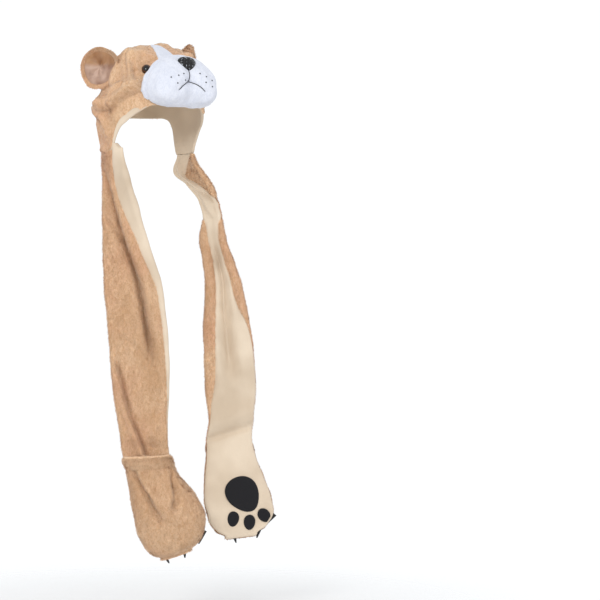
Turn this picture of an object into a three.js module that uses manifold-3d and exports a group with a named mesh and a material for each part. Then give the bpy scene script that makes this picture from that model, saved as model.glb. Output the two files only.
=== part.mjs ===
// An animal hood scarf: a plush dog-head hood with a fleece lining, whose two ear
// flaps run on into long flattened scarf tails that end in mitten paws.
//
// Millimetres, +Z up. The face looks along -Y, and +X is the wearer's left.
// The origin is the inside of the crown, where the wearer's head bears on the lining.
// "Forward" below always means -Y, and "drop" means how far below the origin.
import * as THREE from "three";
import { mergeVertices } from "three/addons/utils/BufferGeometryUtils.js";
import Module from "manifold-3d";

const wasm = await Module();
wasm.setup();

// Cloth
const plushWall = 3;
const liningWall = 1.8;
const layerGap = 0.4; // between the lining and the plush
const seatGap = 0.45; // between a piece and what it is sewn to
const seamTrim = 0.7; // each of a tail's layers stops this far short of their seam
const sliver = 0.06; // facets narrower than this are joined to their neighbours

// Hood, by the head that it fits
const headWidth = 168;
const headLength = 198;
const crownHeight = 108; // from the crown down to the widest part
const browDrop = 92;
const napeDrop = 102;
const flapDrop = 170; // where the ear flaps are seamed to the tails
const flapTaper = 0.96; // how far the flaps lean in at that seam
const formSize = 100; // the padding's folds, widths and heights below are shares of this

// Muzzle
const muzzleWidth = 132;
const muzzleHeight = 95;
const muzzleReach = 42; // from its middle to its front
const muzzleBack = 50; // and to its back, sunk in the hood
const muzzleForward = 96; // its middle, ahead of the head's middle
const muzzleDrop = 55;
const muzzleSlope = 0.36; // the top leans back by this share of the height
const muzzleTaper = 0.18; // how much narrower it is at the top
const muzzlePinch = 0.5; // and how much more so between the eyes

// Nose and eyes
const noseWidth = 32;
const noseHeight = 25;
const noseStand = 9;
const eyeRadius = 8.5;

// Ears
const earWidth = 62;
const earHeight = 70;
const earCup = 17;
const leftEarRise = 15; // the left ear is pushed up a little
const leftEarTuck = 6; // and in
const earWall = 3;
const earLiningWall = 1.4;

// Tails
const tailWidth = 100;
const tailForward = 146; // how far the paws hang ahead of the head's middle
const rightDrop = 684; // from the flap's seam to the toes
const leftDrop = 662; // shorter, because this tail is bunched below its flap
const edgeRadius = 6;
const tailPuff = 5.2; // air between a tail's two layers
const foldSize = 10;

// Paws
const cuffHeight = 13;
const cuffWall = 6;
const pocketDepth = 34;
const pawTip = 4; // how far the pocket's toe end reaches past the palm
const clawLength = 23;
const clawWidth = 11;
const padWall = 1.1;
const padLength = 60; // the main pad
const padWidth = 56;
const toePadLength = 25;
const toePadWidth = 19;

// Blaze, the white stripe on the forehead
const blazeWidth = 50;
const blazeLength = 94;
const blazeWall = 2.2;

const plushColour = 0xd0a26c;
const liningColour = 0xdcc8a8;
const whiteColour = 0xeef0f6;
const satinColour = 0xd9a884;
const blackColour = 0x141416;

const rad = THREE.MathUtils.degToRad;
const shellWall = liningWall + layerGap + plushWall;

// Rim of the hood: how much of the ear flap's length there is at each angle from the front
const FLAP = [
  { at: 0, share: 0 },
  { at: 34, share: 0.03 },
  { at: 46, share: 0.14 },
  { at: 56, share: 0.26 },
  { at: 64, share: 0.38 },
  { at: 70, share: 0.46 },
  { at: 76, share: 0.61 },
  { at: 81, share: 0.8 },
  { at: 85, share: 1 },
  { at: 110, share: 1 },
  { at: 113, share: 0.75 },
  { at: 117, share: 0.3 },
  { at: 123, share: 0.06 },
  { at: 132, share: 0 },
  { at: 180, share: 0 },
];

// Padding under the plush, mirrored left and right: a raised or sunk line between two
// or three places on the hood. A place is degrees from the front and a share of
// crownHeight below the crown. Width and height are shares of formSize.
const FORMS = [
  { name: "crown", line: [[0, 0], [180, 0.02]], width: 0.42, height: 0.1 },
  { name: "crown_side", line: [[70, 0.14], [112, 0.13]], width: 0.27, height: 0.1 },
  { name: "brow", line: [[46, 0.17], [58, 0.22]], width: 0.16, height: 0.07 },
  { name: "socket", line: [[38, 0.34], [48, 0.36]], width: 0.12, height: -0.08 },
  { name: "temple_front", line: [[62, 0.24], [60, 0.56]], width: 0.13, height: 0.13 },
  { name: "temple_back", line: [[80, 0.14], [80, 0.62]], width: 0.1, height: 0.07 },
  { name: "cheek", line: [[52, 0.62], [72, 0.76], [106, 0.92]], width: 0.12, height: 0.12 },
  { name: "nape_roll", line: [[92, 0.84], [126, 0.8], [180, 0.8]], width: 0.12, height: 0.06 },
];

// Each tail from its flap to its toes, one row for each section. down is a share of the
// tail's drop, out of the flap's distance from the middle, forward of tailForward, and
// half of tailWidth. face is the side that looks outwards and to the front, in degrees
// from straight ahead, and tilt is how far the section leans.
const RIGHT_TAIL = [
  { down: 0, out: -1, forward: -0.03, face: -90, tilt: 0, half: 0.28 },
  { down: 0.03, out: -1, forward: 0.05, face: -88, tilt: 0, half: 0.34 },
  { down: 0.05, out: -0.995, forward: 0.085, face: -84, tilt: 0, half: 0.34 },
  { down: 0.108, out: -0.99, forward: 0.185, face: -75, tilt: 0, half: 0.365 },
  { down: 0.234, out: -0.97, forward: 0.345, face: -55, tilt: 0, half: 0.42 },
  { down: 0.359, out: -0.94, forward: 0.5, face: -42, tilt: 0, half: 0.505 },
  { down: 0.486, out: -0.92, forward: 0.592, face: -35, tilt: 0, half: 0.505 },
  { down: 0.611, out: -0.89, forward: 0.62, face: -30, tilt: 0, half: 0.475 },
  { down: 0.687, out: -0.88, forward: 0.647, face: -28, tilt: 0, half: 0.42 },
  { down: 0.757, out: -0.87, forward: 0.693, face: -27, tilt: 2, half: 0.4 },
  { down: 0.815, out: -0.78, forward: 0.767, face: -26, tilt: 6, half: 0.44 },
  { down: 0.875, out: -0.65, forward: 0.887, face: -25, tilt: 11, half: 0.55 },
  { down: 0.925, out: -0.58, forward: 0.967, face: -25, tilt: 14, half: 0.59 },
  { down: 0.965, out: -0.52, forward: 0.993, face: -25, tilt: 16, half: 0.53 },
  { down: 0.99, out: -0.49, forward: 1, face: -25, tilt: 17, half: 0.4 },
  { down: 1, out: -0.48, forward: 1, face: -25, tilt: 17, half: 0.28 },
];
const LEFT_TAIL = [
  { down: 0, out: 1, forward: -0.01, face: -90, tilt: 0, half: 0.33 },
  { down: 0.05, out: 1.01, forward: 0.025, face: -88, tilt: 0, half: 0.42 },
  { down: 0.088, out: 1.03, forward: 0.213, face: -80, tilt: 0, half: 0.3 },
  { down: 0.128, out: 1.04, forward: 0.363, face: -70, tilt: 0, half: 0.2 },
  { down: 0.175, out: 1.06, forward: 0.445, face: -60, tilt: 0, half: 0.19 },
  { down: 0.223, out: 1.07, forward: 0.453, face: -55, tilt: 0, half: 0.24 },
  { down: 0.28, out: 1.08, forward: 0.54, face: -50, tilt: 0, half: 0.27 },
  { down: 0.354, out: 1.09, forward: 0.66, face: -45, tilt: 0, half: 0.325 },
  { down: 0.433, out: 1.11, forward: 0.693, face: -40, tilt: 0, half: 0.385 },
  { down: 0.514, out: 1.1, forward: 0.753, face: -36, tilt: 0, half: 0.43 },
  { down: 0.62, out: 1.1, forward: 0.8, face: -32, tilt: 0, half: 0.44 },
  { down: 0.699, out: 1.1, forward: 0.81, face: -30, tilt: 0, half: 0.39 },
  { down: 0.752, out: 1.08, forward: 0.785, face: -29, tilt: 0, half: 0.4 },
  { down: 0.805, out: 1.08, forward: 0.827, face: -28, tilt: 2, half: 0.44 },
  { down: 0.859, out: 1.08, forward: 0.89, face: -27, tilt: 4, half: 0.52 },
  { down: 0.912, out: 1.08, forward: 0.967, face: -26, tilt: 5, half: 0.58 },
  { down: 0.951, out: 1.1, forward: 1.02, face: -26, tilt: 6, half: 0.57 },
  { down: 0.985, out: 1.11, forward: 1.02, face: -26, tilt: 6, half: 0.43 },
  { down: 1, out: 1.11, forward: 1.01, face: -26, tilt: 6, half: 0.29 },
];

// Folds that run down a tail: from one share of its drop to another, with the place
// across (-1 to 1) at the start, the middle and the end. Width and height are in
// foldSize, and a height below zero is a valley seen from the face side.
const RIGHT_FOLDS = [
  { from: 0.03, to: 0.56, across: [-0.9, 0.12, 0.5], width: 1.5, height: -0.7 },
  { from: 0.03, to: 0.62, across: [-0.3, 0.55, 0.8], width: 1.4, height: 0.6 },
  { from: 0.56, to: 0.75, across: [-0.45, -0.2, 0.3], width: 1.4, height: 0.36 },
];
const LEFT_FOLDS = [
  { from: 0.02, to: 0.17, across: [-0.75, 0.1, 0.9], width: 1.4, height: 0.6 },
  { from: 0.12, to: 0.62, across: [0.1, -0.15, 0.05], width: 1.4, height: -0.9 },
  { from: 0.15, to: 0.66, across: [0.75, 0.45, 0.7], width: 1.3, height: 0.4 },
  { from: 0.15, to: 0.66, across: [-0.6, -0.6, -0.5], width: 1.3, height: 0.4 },
];

// Where the plush ends and the lining begins on the face side of each tail, from -1 to 1
// across. At 1 or -1 the seam lies on the tail's edge.
const RIGHT_SEAM = [
  { down: 0, across: 0.42 },
  { down: 0.07, across: 0.1 },
  { down: 0.12, across: 0.12 },
  { down: 0.234, across: 0.5 },
  { down: 0.36, across: 0.74 },
  { down: 0.5, across: 0.8 },
  { down: 0.64, across: 0.88 },
  { down: 0.78, across: 1 },
  { down: 1, across: 1 },
];
const LEFT_SEAM = [
  { down: 0, back: -1, front: 1 },
  { down: 0.03, back: -1, front: 0.7 },
  { down: 0.075, back: -1, front: 0.35 },
  { down: 0.15, back: -0.9, front: 0.8 },
  { down: 0.23, back: -0.6, front: 0.75 },
  { down: 0.36, back: -0.55, front: 0.62 },
  { down: 0.45, back: -0.56, front: 0.9 },
  { down: 0.58, back: -0.7, front: 1 },
  { down: 0.74, back: -0.98, front: 1 },
  { down: 1, back: -1, front: 1 },
];

// A column of a table at any place between its rows, as a smooth curve that never
// overshoots them.
function column(rows, key, name, at) {
  const n = rows.length - 1;
  if (at <= rows[0][key]) return rows[0][name];
  if (at >= rows[n][key]) return rows[n][name];
  let i = 0;
  while (at > rows[i + 1][key]) i++;
  const slope = (k) => (rows[k + 1][name] - rows[k][name]) / (rows[k + 1][key] - rows[k][key]);
  const tangent = (k) => {
    if (k === 0 || k === n) return 0;
    const [a, b] = [slope(k - 1), slope(k)];
    return a * b <= 0 ? 0 : (2 * a * b) / (a + b);
  };
  const step = rows[i + 1][key] - rows[i][key];
  const t = (at - rows[i][key]) / step;
  const [t2, t3] = [t * t, t * t * t];
  return (
    (2 * t3 - 3 * t2 + 1) * rows[i][name] +
    (t3 - 2 * t2 + t) * step * tangent(i) +
    (3 * t2 - 2 * t3) * rows[i + 1][name] +
    (t3 - t2) * step * tangent(i + 1)
  );
}

const smooth = (low, high, x) => {
  const t = THREE.MathUtils.clamp((x - low) / (high - low), 0, 1);
  return t * t * (3 - 2 * t);
};

// Triangles between the rows of a grid of points. ring joins the last column to the first,
// and flip turns the faces over without moving their edges.
function gridFaces(faces, rows, ring, flip = false) {
  for (let i = 0; i + 1 < rows.length; i++) {
    const n = rows[i].length;
    for (let j = 0; j < (ring ? n : n - 1); j++) {
      const k = (j + 1) % n;
      const [a, b, c, d] = [rows[i][j], rows[i][k], rows[i + 1][k], rows[i + 1][j]];
      if (flip) faces.push(a, c, b, a, d, c);
      else faces.push(a, b, c, a, c, d);
    }
  }
}

function geometryOf(faces) {
  return new THREE.BufferGeometry().setFromPoints(faces);
}

// A closed wall between two matching grids, its outside and its inside.
function wallBetween(outer, inner, ring) {
  const faces = [];
  const last = outer.length - 1;
  gridFaces(faces, outer, ring);
  gridFaces(faces, inner, ring, true);
  gridFaces(faces, [inner[0], outer[0]], ring);
  gridFaces(faces, [outer[last], inner[last]], ring);
  if (!ring) {
    const end = outer[0].length - 1;
    gridFaces(faces, [outer.map((row) => row[0]), inner.map((row) => row[0])], false);
    gridFaces(faces, [inner.map((row) => row[end]), outer.map((row) => row[end])], false);
  }
  return geometryOf(faces);
}

// A closed solid through a row of closed sections, with a flat or pointed end at each side.
function loft(sections) {
  const faces = [];
  const middle = (points) =>
    points.reduce((sum, p) => sum.add(p), new THREE.Vector3()).divideScalar(points.length);
  const ends = [sections[0], sections[sections.length - 1]];
  const closed = ends.map((points) => points.map(() => middle(points)));
  gridFaces(faces, [closed[0], ...sections, closed[1]], true);
  return geometryOf(faces);
}

// A geometry as a manifold-3d solid, with its faces turned outwards.
function solidOf(geometry) {
  const bare = geometry.clone();
  bare.deleteAttribute("normal");
  bare.deleteAttribute("uv");
  const merged = mergeVertices(bare, 1e-4);
  const p = merged.attributes.position;
  const corners = [];
  let volume = 0;
  for (let i = 0; i < merged.index.count; i += 3) {
    const [a, b, c] = [0, 1, 2].map((k) => merged.index.getX(i + k));
    if (a === b || b === c || a === c) continue;
    corners.push(a, b, c);
    const [va, vb, vc] = [a, b, c].map((k) => new THREE.Vector3().fromBufferAttribute(p, k));
    volume += va.dot(vb.cross(vc));
  }
  if (volume < 0) corners.reverse();
  const triVerts = new Uint32Array(corners);
  return new wasm.Manifold(new wasm.Mesh({ numProp: 3, vertProperties: p.array, triVerts }));
}

// The largest body of a cut solid, without the crumbs and slivers that a cut leaves.
function mainBody(solid) {
  const bodies = solid.decompose();
  return bodies.reduce((a, b) => (a.volume() > b.volume() ? a : b)).simplify(sliver);
}

const root = new THREE.Group();
const materials = {
  plush: new THREE.MeshStandardMaterial({ color: plushColour, roughness: 0.95 }),
  lining: new THREE.MeshStandardMaterial({ color: liningColour, roughness: 0.9 }),
  white: new THREE.MeshStandardMaterial({ color: whiteColour, roughness: 0.9 }),
  satin: new THREE.MeshStandardMaterial({ color: satinColour, roughness: 0.5 }),
  gloss: new THREE.MeshStandardMaterial({ color: blackColour, roughness: 0.15 }),
  felt: new THREE.MeshStandardMaterial({ color: blackColour, roughness: 0.85 }),
};

function add(name, material, solid) {
  const made = solid.getMesh();
  const geometry = new THREE.BufferGeometry();
  geometry.setAttribute("position", new THREE.BufferAttribute(made.vertProperties, 3));
  geometry.setIndex(new THREE.BufferAttribute(made.triVerts, 1));
  const mesh = new THREE.Mesh(geometry, materials[material].clone());
  mesh.name = name;
  root.add(mesh);
}

// Hood

// The drop of the hood's rim at an angle from the front.
function rimDrop(degrees) {
  const at = Math.abs(degrees);
  const base = THREE.MathUtils.lerp(browDrop, napeDrop, smooth(60, 130, at));
  return base + (flapDrop - base) * column(FLAP, "at", "share", at);
}

// A point of the hood at an angle from the front (positive to the wearer's right) and a
// drop, that far outside the lining's inner face.
function hoodAt(degrees, drop, outside) {
  const lean = smooth(crownHeight, flapDrop, drop) * (1 - flapTaper);
  const turn = drop < crownHeight ? Math.acos(1 - drop / crownHeight) : Math.PI / 2;
  const around = Math.sin(turn) * (1 - lean);
  const z = drop < crownHeight ? (crownHeight + outside) * Math.cos(turn) - crownHeight : -drop;
  return new THREE.Vector3(
    -(headWidth / 2 + outside) * around * Math.sin(rad(degrees)),
    -(headLength / 2 + outside) * around * Math.cos(rad(degrees)),
    z,
  );
}

// Drops evenly spaced along the hood from the crown to the rim at an angle.
function hoodDrop(degrees, share) {
  const rim = rimDrop(degrees);
  const dome = (headWidth + headLength) / 4;
  const whole = (Math.PI / 2) * dome;
  const length =
    rim < crownHeight ? Math.acos(1 - rim / crownHeight) * dome : whole + rim - crownHeight;
  const along = share * length;
  return along < whole ? crownHeight * (1 - Math.cos(along / dome)) : crownHeight + along - whole;
}

const mirrored = (p) => new THREE.Vector3(-Math.abs(p.x), p.y, p.z);
const formLines = FORMS.map((form) => ({
  ...form,
  points: form.line.map(([at, drop]) => hoodAt(at, drop * crownHeight, shellWall)),
}));

// How far the padding lifts the plush at a point of the hood.
function padding(point) {
  const p = mirrored(point);
  let lift = 0;
  for (const { points, width, height } of formLines) {
    let near = Infinity;
    for (let i = 0; i + 1 < points.length; i++) {
      const line = new THREE.Line3(points[i], points[i + 1]);
      near = Math.min(near, line.closestPointToPoint(p, true, new THREE.Vector3()).distanceTo(p));
    }
    lift += height * formSize * Math.exp(-((near / (width * formSize)) ** 2));
  }
  return Math.max(lift, 0) * smooth(flapDrop, crownHeight, -p.z);
}

// A point of the plush's outer face, plus a little.
function plushAt(degrees, drop, more) {
  const base = hoodAt(degrees, drop, shellWall);
  return hoodAt(degrees, drop, shellWall + padding(base) + more);
}

const oneSide = [18, 34, 46, 55, 63, 69, 74, 78, 81, 85, 93, 102, 110, 113, 117, 123, 140, 160];
const otherSide = oneSide.map((at) => -at).reverse();
const hoodColumns = [0, ...oneSide, 180, ...otherSide];
const hoodRows = 8;

function hoodGrid(pointAt) {
  return Array.from({ length: hoodRows + 1 }, (_, i) =>
    hoodColumns.map((at) => pointAt(at, hoodDrop(at, i / hoodRows))),
  );
}

const shellSolid = solidOf(
  wallBetween(
    hoodGrid((at, drop) => plushAt(at, drop, 0)),
    hoodGrid((at, drop) => hoodAt(at, drop, liningWall + layerGap)),
    true,
  ),
);
add("hood_shell", "plush", shellSolid);
add(
  "hood_lining",
  "lining",
  solidOf(
    wallBetween(
      hoodGrid((at, drop) => hoodAt(at, drop, liningWall)),
      hoodGrid((at, drop) => hoodAt(at, drop, 0)),
      true,
    ),
  ),
);

// All the room inside the plush's outer face, and straight down from its rim. What is
// sewn to the hood is cut off by it.
function hoodRoom(more) {
  const grid = hoodGrid((at, drop) => plushAt(at, drop, more));
  const rim = grid[grid.length - 1];
  return solidOf(loft([...grid, rim.map((p) => p.clone().setZ(p.z - crownHeight))]));
}
const seat = hoodRoom(seatGap);

// Muzzle

// A point of the stuffed muzzle in a direction from its middle.
function muzzleAt(direction, more) {
  const d = direction.clone().normalize();
  const [across, front, up] = [d.x, -d.y, d.z];
  const blocky = 2.7; // 2 makes a ball, and more makes its sides flatter
  const part = (length, most) => Math.abs(length / most) ** blocky;
  const size =
    1 /
    (part(across, muzzleWidth / 2) +
      part(up, muzzleHeight / 2) +
      part(front, front > 0 ? muzzleReach : muzzleBack)) **
      (1 / blocky);
  // Two jowls hang at the sides of the mouth, with a shallow hollow between them.
  const lobe = (x, z, spread) =>
    Math.exp(-(((Math.abs(across) - x) / spread) ** 2) - ((up - z) / spread) ** 2);
  const jowls = 0.13 * lobe(0.6, -0.4, 0.32) - 0.06 * lobe(0, -0.6, 0.22) - 0.03 * lobe(0, -0.05, 0.3);
  const p = d.multiplyScalar(size * (1 + jowls) + more);
  const lean = muzzleSlope * Math.max(p.z, 0);
  const high = smooth(0, muzzleHeight / 2, p.z);
  const narrow = high * (muzzleTaper + muzzlePinch * smooth(-0.35 * muzzleReach, 0.6 * muzzleBack, p.y));
  return new THREE.Vector3(p.x * (1 - narrow), p.y + lean - muzzleForward, p.z - muzzleDrop);
}

function muzzleSolid(more) {
  const ball = new THREE.SphereGeometry(1, 22, 12);
  const p = ball.attributes.position;
  for (let i = 0; i < p.count; i++) {
    const at = muzzleAt(new THREE.Vector3().fromBufferAttribute(p, i), more);
    p.setXYZ(i, at.x, at.y, at.z);
  }
  return solidOf(ball);
}
add("muzzle", "white", mainBody(muzzleSolid(0).subtract(seat)));
const muzzleSeat = muzzleSolid(seatGap);

// A flattened ball with its flat side against a face, at a point and facing a way.
function button(width, height, stand, at, facing, shape = (x) => x) {
  const ball = new THREE.SphereGeometry(1, 13, 8);
  const p = ball.attributes.position;
  for (let i = 0; i < p.count; i++) {
    const v = shape(new THREE.Vector3().fromBufferAttribute(p, i));
    p.setXYZ(i, (v.x * width) / 2, (v.y * height) / 2, v.z * stand);
  }
  const frame = new THREE.Object3D();
  frame.position.copy(at);
  frame.lookAt(at.clone().add(facing));
  frame.updateMatrix();
  return solidOf(ball.applyMatrix4(frame.matrix));
}

// The nose is a rounded triangle, widest above its middle, on the muzzle's upper front.
const noseWay = new THREE.Vector3(0, -0.743, 0.669);
const noseSpot = muzzleAt(noseWay, 0);
const noseShape = (v) => v.setX(v.x * (1 + 0.3 * v.y));
const noseFacing = new THREE.Vector3(0, -1, 0.6);
const nose = button(noseWidth, noseHeight, noseStand, noseSpot, noseFacing, noseShape);
add("nose", "gloss", mainBody(nose.subtract(muzzleSeat)));

// The eyes sit between the brow and the muzzle.
const eyeAngle = 41;
const eyeDrop = 0.35 * crownHeight;
for (const [name, side] of [["right", 1], ["left", -1]]) {
  const at = plushAt(side * eyeAngle, eyeDrop, eyeRadius * 0.3);
  const facing = new THREE.Vector3(-side * 0.62, -0.75, 0.2);
  const eye = button(2 * eyeRadius, 2 * eyeRadius, eyeRadius * 0.8, at, facing);
  add(name + "_eye", "gloss", mainBody(eye.subtract(seat).subtract(muzzleSeat)));
}

// The blaze runs from the muzzle up over the crown, between the two brows.
function blazeOutline() {
  const shape = new THREE.Shape();
  const [w, l] = [blazeWidth / 2, blazeLength];
  shape.moveTo(-w, 0);
  shape.quadraticCurveTo(-w * 0.8, l * 0.45, -w * 0.16, l);
  shape.lineTo(w * 0.16, l);
  shape.quadraticCurveTo(w * 0.8, l * 0.45, w, 0);
  return shape;
}
const blazeStart = muzzleForward + muzzleReach * 0.1;
const blazeCut = new THREE.ExtrudeGeometry(blazeOutline(), {
  depth: 2 * crownHeight,
  bevelEnabled: false,
  curveSegments: 4,
});
blazeCut.translate(0, -blazeStart, -crownHeight);
const blazeLayer = hoodRoom(seatGap + blazeWall).subtract(seat);
add("blaze", "white", mainBody(blazeLayer.intersect(solidOf(blazeCut)).subtract(muzzleSeat)));

// Ears: a cupped round flap of plush that opens forward, with a satin lining set into it.
const earTurn = 32; // the ears sweep back by this
const earAngle = 104;
const earDrop = 0.3 * crownHeight;
const earGap = 1; // the facets of the two layers differ, so they stand apart by more

function earAt(side, radius, angle, offset) {
  const out = new THREE.Vector3(-side * Math.cos(rad(earTurn)), Math.sin(rad(earTurn)), 0);
  const front = new THREE.Vector3(-side * Math.sin(rad(earTurn)), -Math.cos(rad(earTurn)), 0);
  const [across, up] = [Math.cos(angle), Math.sin(angle)];
  // The rim comes forward all round, most at the top, and the whole ear hangs a little.
  const cup = earCup * radius ** 2 * (1 + 0.35 * up - 0.25 * across);
  return plushAt(side * earAngle, earDrop, 0)
    .addScaledVector(out, earWidth * (0.37 + (across * radius) / 2) - (side < 0 ? leftEarTuck : 0))
    .addScaledVector(front, cup + offset)
    .add(new THREE.Vector3(0, 0, (earHeight * radius * up) / 2 - 0.06 * earHeight * across * radius))
    .add(new THREE.Vector3(0, 0, side < 0 ? leftEarRise : 0));
}

function earWallSolid(side, size, back, front) {
  const rings = [0, 0.45, 0.78, 1];
  const spokes = 15;
  const angles = Array.from({ length: spokes }, (_, j) => (j / spokes) * 2 * Math.PI);
  const face = (offset) =>
    rings.map((ring) => angles.map((angle) => earAt(side, ring * size, angle, offset)));
  return solidOf(wallBetween(face(front), face(back), true));
}
for (const [name, side] of [["right", 1], ["left", -1]]) {
  const back = earWallSolid(side, 1, -earWall, 0);
  const satin = earWallSolid(side, 0.84, earGap, earGap + earLiningWall);
  add(name + "_ear", "plush", mainBody(back.subtract(seat)));
  add(name + "_ear_lining", "satin", mainBody(satin.subtract(seat)));
}

// Tails

const flapMiddle = (headWidth / 2 + shellWall / 2) * flapTaper;
const halfPuff = (plushWall + liningWall + tailPuff) / 2;
const tails = {
  right: { rows: RIGHT_TAIL, folds: RIGHT_FOLDS, drop: rightDrop, plushFace: 1 },
  left: { rows: LEFT_TAIL, folds: LEFT_FOLDS, drop: leftDrop, plushFace: -1 },
};

// The middle of a tail's section and the ways across it and out of its face.
function tailFrame(tail, down) {
  const get = (name) => column(tail.rows, "down", name, down);
  const [face, tilt] = [rad(get("face")), rad(get("tilt"))];
  const across = new THREE.Vector3(Math.cos(face), Math.sin(face), 0);
  across.multiplyScalar(Math.cos(tilt)).add(new THREE.Vector3(0, 0, Math.sin(tilt)));
  return {
    half: get("half") * tailWidth,
    middle: new THREE.Vector3(
      get("out") * flapMiddle,
      -get("forward") * tailForward,
      -flapDrop - layerGap - down * tail.drop,
    ),
    across,
    out: new THREE.Vector3(Math.sin(face), -Math.cos(face), 0),
  };
}

// How far the folds carry a tail's middle line out of its flat plane.
function foldHeight(tail, down, t, half) {
  // At the seam the tail still has the flap's curve round the head.
  const flapCurve = (-(t * t) * half * half) / (headLength * flapTaper);
  let height = flapCurve * tail.plushFace * (1 - smooth(0, 0.12, down));
  for (const fold of tail.folds) {
    const share = (down - fold.from) / (fold.to - fold.from);
    if (share <= 0 || share >= 1) continue;
    const [a, b, c] = fold.across;
    const centre = share < 0.5 ? a + (b - a) * 2 * share : b + (c - b) * (2 * share - 1);
    const away = ((t - centre) * half) / (fold.width * foldSize);
    const fade = smooth(0, 0.18, Math.min(share, 1 - share));
    height += fold.height * foldSize * fade * Math.exp(-away * away);
  }
  return height;
}

// A point of a tail's outline. place runs once round it: 0 to 2 across the face, to 2.5
// round one edge, to 4.5 across the back and to 5 round the other edge.
function tailAt(tail, down, place, more) {
  const { half, middle, across, out } = tailFrame(tail, down);
  const at = ((place % 5) + 5) % 5;
  const onFace = at <= 2;
  const onBack = at >= 2.5 && at <= 4.5;
  const flat = Math.max(half - edgeRadius, 1);
  let t = onFace ? at - 1 : 1;
  if (onBack) t = 3.5 - at;
  if (at > 4.5) t = -1;
  const thick = halfPuff + (edgeRadius - halfPuff) * smooth(0.72, 1, Math.abs(t)) + more;
  const height = foldHeight(tail, down, t, half);
  let [e, n] = [flat * t, height + (onFace ? thick : -thick)];
  if (!onFace && !onBack) {
    const turn = ((at > 4.5 ? at - 4.5 : at - 2) / 0.5) * Math.PI;
    const way = at > 4.5 ? -1 : 1;
    e = way * (flat + thick * Math.sin(turn));
    n = height + way * thick * Math.cos(turn);
  }
  return middle.clone().addScaledVector(across, e).addScaledVector(out, n);
}

// The two seams of a tail as places on its outline: the plush runs from the first to the
// second, and the lining from the second on round to the first.
function seams(tail, down) {
  if (tail.plushFace > 0) {
    const front = column(RIGHT_SEAM, "down", "across", down);
    return [front - 1.25, 1 + front + 0.25 * smooth(0.75, 1, front)];
  }
  const back = column(LEFT_SEAM, "down", "back", down);
  const front = column(LEFT_SEAM, "down", "front", down);
  const [first, second] = [1 + front, 6 + back];
  return [first + 0.25 * smooth(0.75, 1, front), second - 0.25 * smooth(-0.75, -1, back)];
}

const columnsOf = { right: { plush: 14, lining: 11 }, left: { plush: 15, lining: 8 } };
const downs = {
  right: [
    0, 0.03, 0.07, 0.11, 0.15, 0.19, 0.24, 0.3, 0.36, 0.43, 0.5, 0.57, 0.64, 0.7, 0.76, 0.82,
    0.875, 0.93, 0.97, 0.99, 1,
  ],
  left: [
    0, 0.03, 0.06, 0.088, 0.115, 0.145, 0.18, 0.22, 0.27, 0.33, 0.4, 0.47, 0.54, 0.61, 0.68,
    0.75, 0.81, 0.865, 0.915, 0.96, 0.985, 1,
  ],
};

// Columns stand closer together round the two edges: a place's share of the columns, and
// the place at such a share.
const edgeColumns = 1.6;
const ringMarks = [0, 2, 2.5, 4.5, 5];
const ringShares = [0, 2, 2 + edgeColumns / 2, 4 + edgeColumns / 2, 4 + edgeColumns];
function remap(value, from, to) {
  const [turn, turned] = [from[4], to[4]];
  const whole = Math.floor(value / turn);
  const rest = value - whole * turn;
  let i = 0;
  while (i < 3 && rest > from[i + 1]) i++;
  const t = (rest - from[i]) / (from[i + 1] - from[i]);
  return whole * turned + to[i] + t * (to[i + 1] - to[i]);
}

// One layer of a tail between two places on its outline, from one depth below its outer
// face to another.
function tailLayer(tail, stations, shallow, deep, count, ends) {
  const face = (depth) =>
    stations.map((down) => {
      const [from, to] = ends(down).map((place) => remap(place, ringMarks, ringShares));
      return Array.from({ length: count + 1 }, (_, j) => {
        const place = remap(from + ((to - from) * j) / count, ringShares, ringMarks);
        const here = tailAt(tail, down, place, 0);
        const along = tailAt(tail, down, place + 0.02, 0).sub(tailAt(tail, down, place - 0.02, 0));
        const { across, out } = tailFrame(tail, down);
        const [e, n] = [along.dot(across), along.dot(out)];
        const size = Math.hypot(e, n);
        return here.addScaledVector(across, (n / size) * depth).addScaledVector(out, (-e / size) * depth);
      });
    });
  return solidOf(wallBetween(face(shallow), face(deep), false));
}

// The whole tail as one solid, that much larger all round.
function tailRoom(tail, stations, more) {
  const count = 24;
  const places = Array.from({ length: count }, (_, j) => (j * ringShares[4]) / count);
  const section = (down) => places.map((s) => tailAt(tail, down, remap(s, ringShares, ringMarks), more));
  return solidOf(loft(stations.map(section)));
}

// Both layers of a tail.
function tailLayers(name, stations, more) {
  const tail = tails[name];
  const count = columnsOf[name];
  const trim = (down) => seamTrim / Math.max(tailFrame(tail, down).half - edgeRadius, 10);
  const plush = (down) => {
    const [a, b] = seams(tail, down);
    return [a + trim(down), b - trim(down)];
  };
  const lining = (down) => {
    const [a, b] = seams(tail, down);
    return [b + trim(down), a + 5 - trim(down)];
  };
  return [
    tailLayer(tail, stations, -more, plushWall, count.plush, plush),
    tailLayer(tail, stations, -more, liningWall, count.lining, lining),
  ];
}

// All of a tail with the air between its layers. What is sewn to the tail is cut by it.
function tailSeat(name, stations, more) {
  const [plush, lining] = tailLayers(name, stations, more);
  return plush.add(lining).add(tailRoom(tails[name], stations, -liningWall / 2));
}

for (const name of Object.keys(tails)) {
  const [plush, lining] = tailLayers(name, downs[name], 0);
  add(name + "_tail", "plush", plush);
  add(name + "_tail_lining", "lining", lining);
}

// Paws

// How deep the pocket is from its cuff (0) to its toes (1), as a share of pocketDepth.
const POCKET = [
  { along: 0, depth: 0.82 },
  { along: 0.25, depth: 0.9 },
  { along: 0.55, depth: 1 },
  { along: 0.8, depth: 0.86 },
  { along: 0.93, depth: 0.6 },
  { along: 1, depth: 0.24 },
];
const pocketRows = [0, 0.08, 0.1, 0.34, 0.6, 0.8, 0.92, 0.97, 1];
const cuffTop = { right: 0.765, left: 0.762 };

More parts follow.
